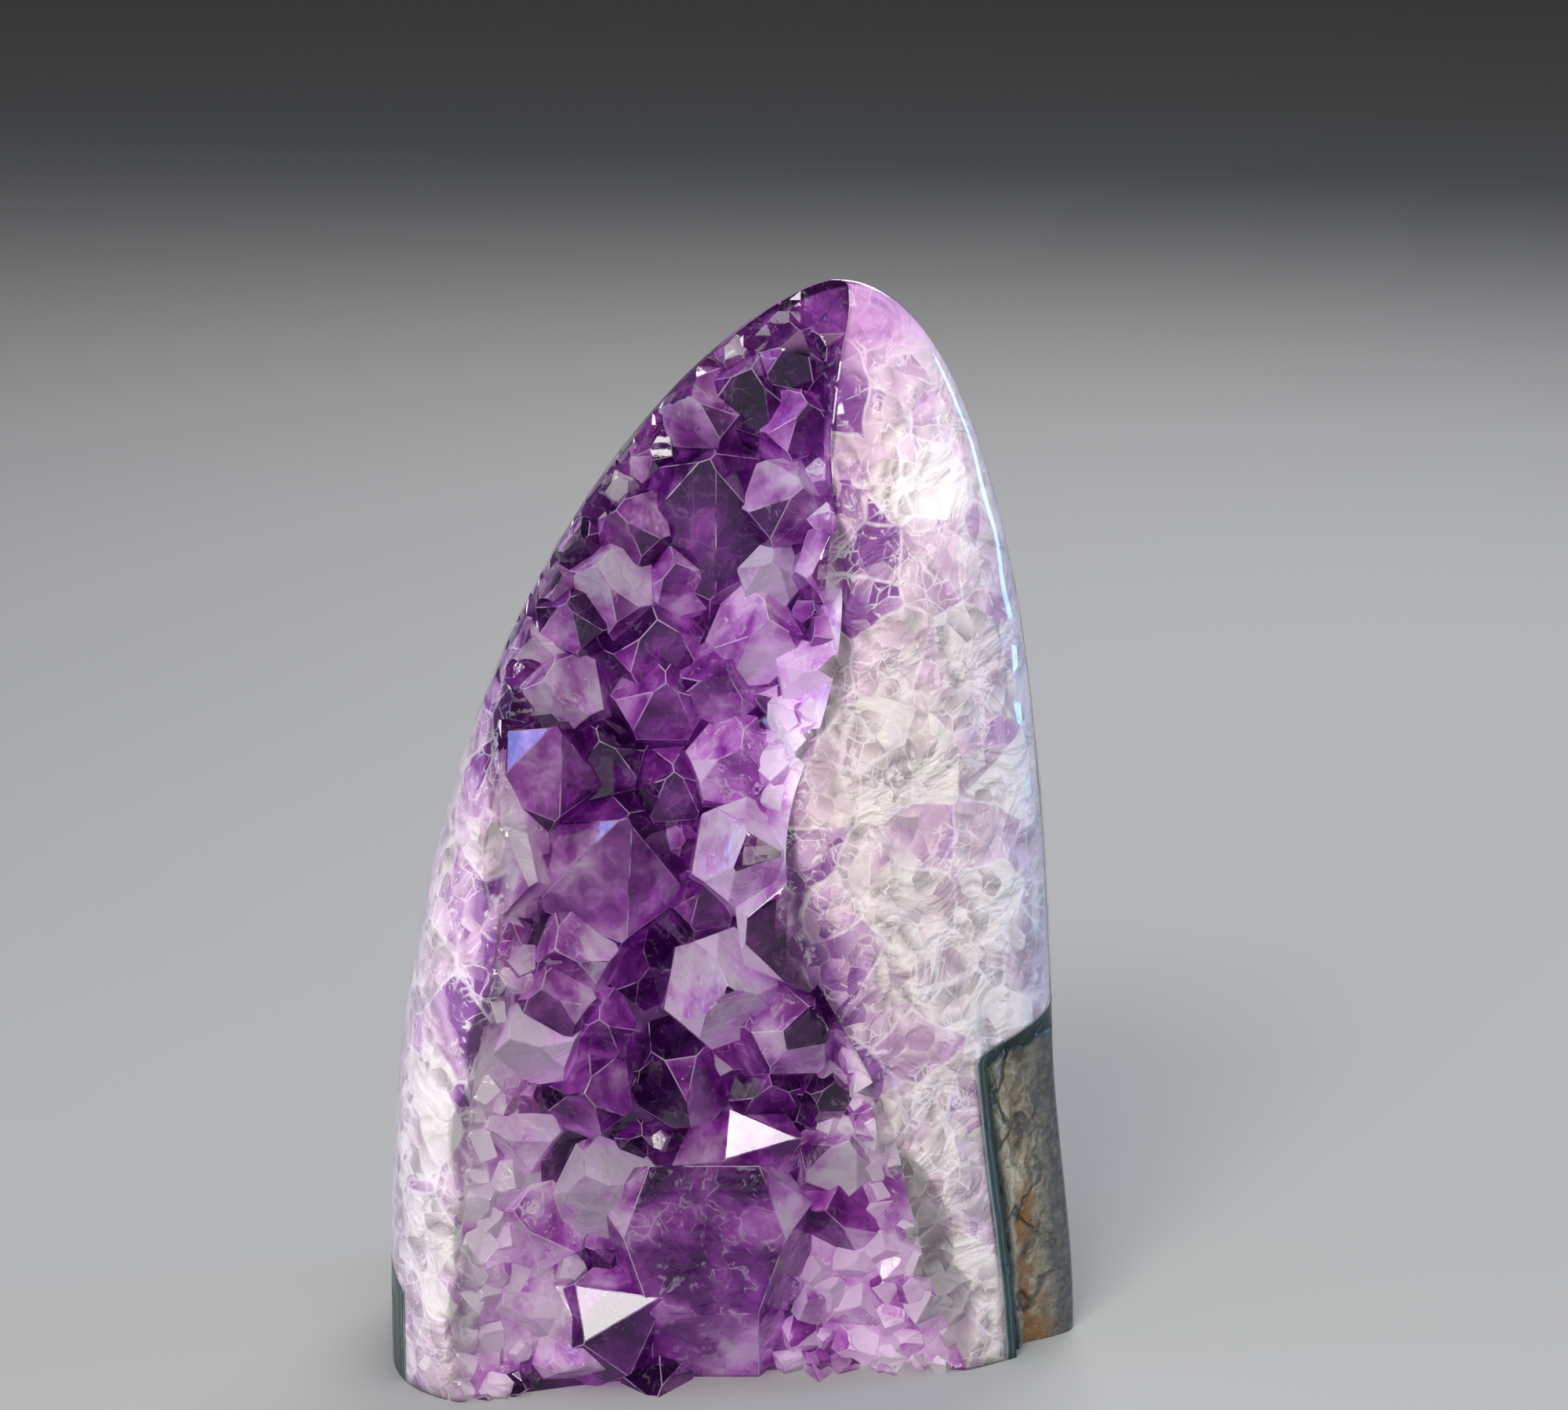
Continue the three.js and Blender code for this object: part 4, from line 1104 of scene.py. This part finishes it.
# Growth lines and flaws roughen the natural faces. The ground ones are wavy from the polish.
striae = node(
    tree, "ShaderNodeTexWave", {"wave_type": "BANDS", "bands_direction": "Z"},
    Vector=place(tree), Scale=260, Distortion=1.5, Detail=2,
)
grain = product(tree, noise(tree, 600, 4), 0.9)
grain = calc(tree, "MULTIPLY_ADD", striae.outputs["Fac"], 0.22, grain)
flaws = product(tree, broken, noise(tree, 420, 5, 1.0))
flaws = calc(tree, "MULTIPLY_ADD", flaws, 9.0, grain)
flaws = product(tree, flaws, inverse(tree, polished))
fine_relief = node(tree, "ShaderNodeBump", Height=flaws, Strength=0.15, Distance=0.0003)
wavy = product(tree, noise(tree, 80, 1), polished)
hand_polish = node(
    tree, "ShaderNodeBump", Height=wavy, Normal=fine_relief.outputs[0],
    Strength=1.0, Distance=0.0016,
)
tree.links.new(hand_polish.outputs[0], shader.inputs["Normal"])

# Light that falls through the crystals is tinted a little, and casts no hard shadow.
let_light = node(tree, "ShaderNodeBsdfTransparent", Color=(0.92, 0.86, 0.95, 1))
path = node(tree, "ShaderNodeLightPath")
passing = tree.nodes.new("ShaderNodeMixShader")
tree.links.new(path.outputs["Is Shadow Ray"], passing.inputs[0])
tree.links.new(shader.outputs[0], passing.inputs[1])
tree.links.new(let_light.outputs[0], passing.inputs[2])
output = tree.nodes["Material Output"]
tree.links.new(passing.outputs[0], output.inputs["Surface"])
depth = node(tree, "ShaderNodeVolumeAbsorption", Color=ABSORBED, Density=ABSORPTION)
tree.links.new(depth.outputs[0], output.inputs["Volume"])

# Under the polished border and the crystals' roots the same quartz is milky and clouded. It grew
# on with them and isn't a piece of its own, but light stops in it, so it has a surface here.
VEIL = 0.45
MILK_FOOT, MILK_SHORTER, MILK_BELOW_ROOTS, MILK_BEFORE_RIND = 0.25, 1.2, 0.4, 0.3
BAY_SHARE, BAY_BEHIND_TIP, BAY_WIDTH, BAY_FROM_RIND = 0.75, 1.2, 1.5, 2.5
milk = lofted_body("milky_quartz", 150, 60, carve=lambda ring, *_: np.full(len(ring), VEIL))
lifted = read_points(milk.data)
lifted[:, 2] = MILK_FOOT + lifted[:, 2] * (HEIGHT - MILK_SHORTER) / HEIGHT
milk.data.vertices.foreach_set("co", (lifted * MM).ravel())


def milk_front(x, z):
    """The milky stone's front under the trough, with a clear bay behind each large crystal."""
    bay = np.zeros(len(x))
    for crystal in LARGE_CRYSTALS:
        tip, axis, radius, _, _ = standing(*crystal)
        foot = tip - BAY_BEHIND_TIP * radius * axis
        away = np.hypot(x - foot[0], z - foot[2]) / radius
        bay = np.maximum(bay, BAY_SHARE * radius * smoothstep(BAY_WIDTH - away))
    front = root_at(x, z) + MILK_BELOW_ROOTS
    return np.maximum(front, np.minimum(front + bay, rind_at(x, z) - BAY_FROM_RIND))


behind_roots = block_behind("behind_roots", milk_front, columns=110, rows=160)
behind_rind = block_behind("behind_rind", lambda x, z: rind_at(x, z) - MILK_BEFORE_RIND)

trim = new_tree("trim_to_layer", [
    ("In front", "Object"), ("Behind", "Object"), ("Material", "Material"),
])
start = node(trim, "NodeGroupInput").outputs
layer = trimmed(trim, start["Geometry"], start["In front"], start["Behind"])
end_tree(trim, layer, start["Material"])

milky = bpy.data.materials.new("milky_quartz")
milky.use_nodes = True
apply_tree(milk, trim, {"In front": behind_roots, "Behind": behind_rind, "Material": milky})
discard(behind_roots, behind_rind)
# Deep in the trough, under the natural crystals, the milk has their violet.
TROUGH_ACROSS = 1.3
x, y, z = read_points(milk.data).T
store(milk.data, "outside", outside_violet(x, z))
in_trough = across_band(x, z) < TROUGH_ACROSS
store(milk.data, "rooted", smoothstep((y - front_at(x, z)) / 3 - 0.4) * in_trough)
smooth_where(milk.data, np.ones(len(milk.data.polygons), bool))
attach(milk, "root")
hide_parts("amethyst_crystals")

# It is violet clouds under the crystals, and goes from lilac to cream towards the rind.
CLOUD_TINTS = [
    (0.35, (0.50, 0.34, 0.54)), (0.6, (0.76, 0.66, 0.74)), (0.85, (0.88, 0.85, 0.83)),
    (1.0, (0.94, 0.93, 0.88)),
]
DEEP_DARK, DEEP_PALE, DEEP_OUTSIDE = (0.20, 0.07, 0.27), (0.76, 0.58, 0.80), (0.74, 0.68, 0.72)
tree = milky.node_tree
shader = tree.nodes["Principled BSDF"]
shader.inputs["Roughness"].default_value = 0.45
outside = attribute(tree, "outside")
clouds = noise(tree, 150, 4, 0.8)
outward = spread(tree, outside, -4.0, 9.0)
shown = ramp(tree, calc(tree, "MULTIPLY_ADD", outward, 0.45, clouds), CLOUD_TINTS)
deep = blend(tree, spread(tree, clouds, 0.35, 0.7), DEEP_DARK, DEEP_PALE)
deep = blend(tree, spread(tree, outside, -2.0, 3.0), deep, DEEP_OUTSIDE)
tree.links.new(blend(tree, attribute(tree, "rooted"), shown, deep), shader.inputs["Base Color"])
tilted = node(tree, "ShaderNodeBump", Height=clouds, Strength=0.8, Distance=0.003)
tree.links.new(tilted.outputs[0], shader.inputs["Normal"])

# A thin layer of banded agate lies between the quartz and the rock. It is cream to greenish grey,
# and against the rock and down at the right foot it is dark with green earth.
rind = lofted_body("rind_layer", rings=150, steps=48)
mark_faces(rind, "polished", 1.0)
front_sheet = block_behind("rind_front", lambda x, z: rind_at(x, z) + RIND_JOINT)
back_sheet = block_behind("rind_back", lambda x, z: rind_at(x, z) + RIND["thick"] - RIND_JOINT)
agate = bpy.data.materials.new("banded_agate")
agate.use_nodes = True
apply_tree(rind, trim, {"In front": front_sheet, "Behind": back_sheet, "Material": agate})
discard(front_sheet, back_sheet)
points = read_points(rind.data)
store(rind.data, "layer", (points[:, 1] - rind_at(points[:, 0], points[:, 2])) / RIND["thick"])
smooth_where(rind.data, read_faces(rind.data, "polished") > 0.5)
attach(rind, "root")
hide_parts("agate_rind")

PALE_BANDS = [
    (0.0, (0.80, 0.76, 0.70)), (0.2, (0.62, 0.55, 0.44)), (0.34, (0.84, 0.81, 0.74)),
    (0.5, (0.55, 0.55, 0.46)), (0.64, (0.74, 0.72, 0.62)), (0.8, (0.20, 0.26, 0.22)),
    (0.95, (0.04, 0.06, 0.05)),
]
DARK_BANDS = [
    (0.0, (0.30, 0.34, 0.35)), (0.22, (0.03, 0.07, 0.07)), (0.45, (0.02, 0.05, 0.06)),
    (0.62, (0.06, 0.12, 0.12)), (0.8, (0.015, 0.03, 0.03)), (1.0, (0.02, 0.03, 0.02)),
]
DARK_RIGHT_OF, DARK_RIGHT_BELOW, DARK_LEFT_BELOW = (0.018, 0.026), (0.036, 0.046), (0.008, 0.016)
tree = agate.node_tree
shader = tree.nodes["Principled BSDF"]
shader.inputs["Roughness"].default_value = 0.14
uneven = calc(tree, "SUBTRACT", noise(tree, 160, 3), 0.5)
layer = calc(tree, "MULTIPLY_ADD", uneven, 0.5, attribute(tree, "layer"))
spot = node(tree, "ShaderNodeSeparateXYZ", Vector=place(tree)).outputs
wander = product(tree, calc(tree, "SUBTRACT", noise(tree, 90, 3), 0.5), 0.02)
height = calc(tree, "ADD", spot["Z"], wander)
low = inverse(tree, spread(tree, height, *DARK_RIGHT_BELOW))
right_low = product(tree, spread(tree, spot["X"], *DARK_RIGHT_OF), low)
left_low = inverse(tree, spread(tree, height, *DARK_LEFT_BELOW))
dark = calc(tree, "MAXIMUM", right_low, left_low)
banded = blend(tree, dark, ramp(tree, layer, PALE_BANDS), ramp(tree, layer, DARK_BANDS))
tree.links.new(banded, shader.inputs["Base Color"])
hand_polish = node(
    tree, "ShaderNodeBump", Height=noise(tree, 110, 2), Strength=1.0, Distance=0.003
)
tree.links.new(hand_polish.outputs[0], shader.inputs["Normal"])

# The rock is basalt. Its back is broken and weathered, with small holes, green earth and rust,
# and its sides are ground smooth with the rest. A split patch shows low on the right.
ROCK_LUMP, ROCK_BEHIND, SPLIT_DEPTH, SPLIT_TOP = 1.3, 5, 2.4, 37
BREAKS = [
    (-26, 14, 1.6, (-0.03, -0.01)), (-6, 24, 1.0, (-0.02, 0.03)), (20, 20, 1.8, (0.05, 0.02)),
    (32, 34, 1.6, (0.1, -0.03)), (-25, 42, 2.4, (0.06, 0.03)), (2, 48, 1.8, (0.04, -0.03)),
    (22, 57, 2.2, (-0.05, 0.03)), (-13, 66, 2.4, (-0.05, 0.02)), (7, 78, 1.8, (0.04, 0.05)),
    (26, 84, 1.8, (0.14, 0.02)), (-6, 90, 2.0, (0.08, -0.04)), (14, 101, 1.6, (-0.06, -0.08)),
]


def back_at(x, z):
    """The y of the outline's back at (x, z)."""
    s = section_at(np.clip(z, 0, NEARLY * HEIGHT))
    reach = (s["right"] - s["left"]) / 2
    across = np.clip(np.abs(x - s["middle"]) / reach, 0, 1)
    return s["widest"] + (s["back"] - s["widest"]) * (1 - across**SQUARE_BACK) ** (1 / SQUARE_BACK)


def lumps(x, y, z):
    """Uneven from 0 to 1, over a few millimetres."""
    wide = np.sin(0.21 * x + 0.13 * z + 0.8) * np.sin(0.17 * y - 0.19 * z + 1.9)
    fine = np.sin(0.47 * x - 0.31 * z + 2.6) * np.sin(0.39 * z + 0.43 * y + 0.4)
    return np.clip(0.5 + 0.38 * wide + 0.3 * fine, 0, 1)


def break_planes():
    """The flat breaks of the rock's back, as normals and offsets."""
    step, planes = 0.5, []
    for x, z, deep, skew in BREAKS:
        slope_x = (back_at(x + step, z) - back_at(x - step, z)) / (2 * step)
        slope_z = (back_at(x, z + step) - back_at(x, z - step)) / (2 * step)
        normal = np.array((skew[0] - slope_x, 1, skew[1] - slope_z), float)
        normal /= np.linalg.norm(normal)
        planes.append((normal, normal @ np.array((x, back_at(x, z), z), float) - deep))
    return planes


rock_breaks = break_planes()


def split_patch(x, y, z, s):
    """1 on the split patch low on the right, and 0 elsewhere."""
    on_right = smoothstep((x - s["middle"]) / 10)
    below = smoothstep((SPLIT_TOP + 2 - z) / 4)
    return on_right * below * smoothstep((s["widest"] - 1 - y) / 5)


def rock_carve(ring, inward, s):
    """How far the rock's surface lies inside the outline."""
    x, y, z = ring.T
    broken = np.zeros(len(ring))
    for normal, offset in rock_breaks:
        facing = np.maximum(-(inward @ normal), 0.5)
        broken = np.maximum(broken, (ring @ normal - offset) / facing)
    behind = smoothstep((y - s["widest"] - ROCK_BEHIND) / 8)
    rough = np.array([lattice_noise.fractal(Vector(p) * 0.55, 0.9, 2.1, 5) for p in ring])
    holes = np.array([lattice_noise.voronoi(Vector(p) * 0.42)[0][0] for p in ring])
    pits = smoothstep((0.24 - holes) / 0.12)
    split = split_patch(x, y, z, s)
    scar = SPLIT_DEPTH * (0.7 + 0.6 * lumps(2 * x, 2 * y, z)) * split
    grainy = np.clip(0.35 + 0.45 * rough, 0, 1) * 0.8 + 0.7 * pits
    return (broken + ROCK_LUMP * lumps(x, y, z)) * behind + scar + grainy * np.maximum(behind, split)


BEYOND_ROCK = 60
rock = lofted_body("basalt_back", rings=190, steps=96, carve=rock_carve)
front_sheet = block_behind("rock_front", lambda x, z: rind_at(x, z) + RIND["thick"] + RIND_JOINT)
beyond_rock = block_behind("beyond_rock", lambda x, z: np.full(len(x), BEYOND_ROCK))
basalt = bpy.data.materials.new("weathered_basalt")
basalt.use_nodes = True
apply_tree(rock, trim, {"In front": front_sheet, "Behind": beyond_rock, "Material": basalt})
discard(front_sheet, beyond_rock)
keep_in_box(rock.data)
x, y, z = read_points(rock.data).T
s = section_at(z)
behind_joint = y - rind_at(x, z) - RIND["thick"]
# Just under the step the rind lies above the rock, so the rind a little higher up counts too.
nearest = np.minimum(behind_joint, np.minimum(y - rind_at(x, z + 1.3), y - rind_at(x, z + 2.6)))
store(rock.data, "skin", 1 - smoothstep(nearest / 3 - 0.8))
stained = smoothstep((x - s["middle"]) / 10) * smoothstep((22 - z) / 8)
streak = smoothstep(behind_joint / 2 - 2) * smoothstep(7 - behind_joint / 1.6)
store(rock.data, "seep", stained * streak)
store(rock.data, "ground", 1 - smoothstep((y - s["widest"] - 3) / 6))
store(rock.data, "split", split_patch(x, y, z, s))
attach(rock, "root")
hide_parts("basalt_matrix")

# The split patch is fresh and tan, and its clefts are painted near black, a painted shade in the
# cracks. The back is old and brown grey, the ground sides are smooth, and next to the rind the
# rock is dark with green earth. The streaks stand upright, and rust has run down them low on
# the right.
FRESH_ROCK = [
    (0.3, (0.04, 0.04, 0.03)), (0.42, (0.34, 0.27, 0.17)), (0.52, (0.74, 0.65, 0.45)),
    (0.6, (0.20, 0.19, 0.14)), (0.72, (0.68, 0.62, 0.48)),
]
OLD_ROCK = [
    (0.3, (0.025, 0.025, 0.02)), (0.42, (0.085, 0.075, 0.055)), (0.52, (0.17, 0.15, 0.105)),
    (0.6, (0.075, 0.08, 0.06)), (0.72, (0.15, 0.145, 0.115)),
]
GROUND_DARK, GROUND_PALE = (0.075, 0.075, 0.07), (0.17, 0.165, 0.15)
RUST, FLAKE = (0.34, 0.15, 0.03), (0.74, 0.70, 0.58)
CLEFT_SHADE, GREEN_EARTH = (0.02, 0.02, 0.015), (0.012, 0.035, 0.038)
tree = basalt.node_tree
shader = tree.nodes["Principled BSDF"]
ground, split = attribute(tree, "ground"), attribute(tree, "split")
speckle = noise(tree, 900, 5, 0.2, 0.7)
upright = vector_math(tree, "MULTIPLY", bent(tree, place(tree), 200.0, 0.004), (1, 1, 0.3))
layers = noise(tree, 330.0, 6.0, 0.3, 0.7, upright)
worn = blend(tree, split, ramp(tree, layers, OLD_ROCK), ramp(tree, layers, FRESH_ROCK))
rust = product(tree, spread(tree, noise(tree, 70, 5, 0.9), 0.58, 0.7), 0.7)
seep = spread(tree, attribute(tree, "seep"), 0.2, 0.8)
streak = product(tree, seep, spread(tree, noise(tree, 160, 3), 0.35, 0.5))
worn = blend(tree, calc(tree, "MAXIMUM", rust, streak), worn, RUST)
flakes = product(
    tree, spread(tree, speckle, 0.6, 0.7), calc(tree, "MULTIPLY_ADD", split, 0.6, 0.2)
)
worn = blend(tree, flakes, worn, FLAKE)
cleft = cells(tree, bent(tree, place(tree), 300.0, 0.006), 90.0, "DISTANCE_TO_EDGE")["Distance"]
cracked = product(
    tree, inverse(tree, spread(tree, cleft, 0.0, 0.06)),
    calc(tree, "MULTIPLY_ADD", split, 0.85, 0.15),
)
# Painted shade: the clefts are darkened to near black, most of all on the split patch.
worn = blend(tree, product(tree, cracked, 0.85), worn, CLEFT_SHADE)
smooth_grey = blend(tree, spread(tree, speckle, 0.4, 0.68), GROUND_DARK, GROUND_PALE)
ground_side = product(tree, ground, inverse(tree, split))
stone = blend(tree, ground_side, worn, smooth_grey)
green = product(tree, attribute(tree, "skin"), ground)
tree.links.new(blend(tree, green, stone, GREEN_EARTH), shader.inputs["Base Color"])
rough = calc(tree, "MULTIPLY_ADD", calc(tree, "MAXIMUM", green, ground_side), -0.6, 0.85)
rough = calc(tree, "MULTIPLY_ADD", split, -0.3, rough)
tree.links.new(rough, shader.inputs["Roughness"])
height = calc(tree, "MULTIPLY_ADD", cracked, -0.5, noise(tree, 420, 7, 0.3, 0.7))
height = product(tree, height, inverse(tree, green))
relief = node(tree, "ShaderNodeBump", Height=height, Strength=0.9, Distance=0.0012)
tree.links.new(relief.outputs[0], shader.inputs["Normal"])
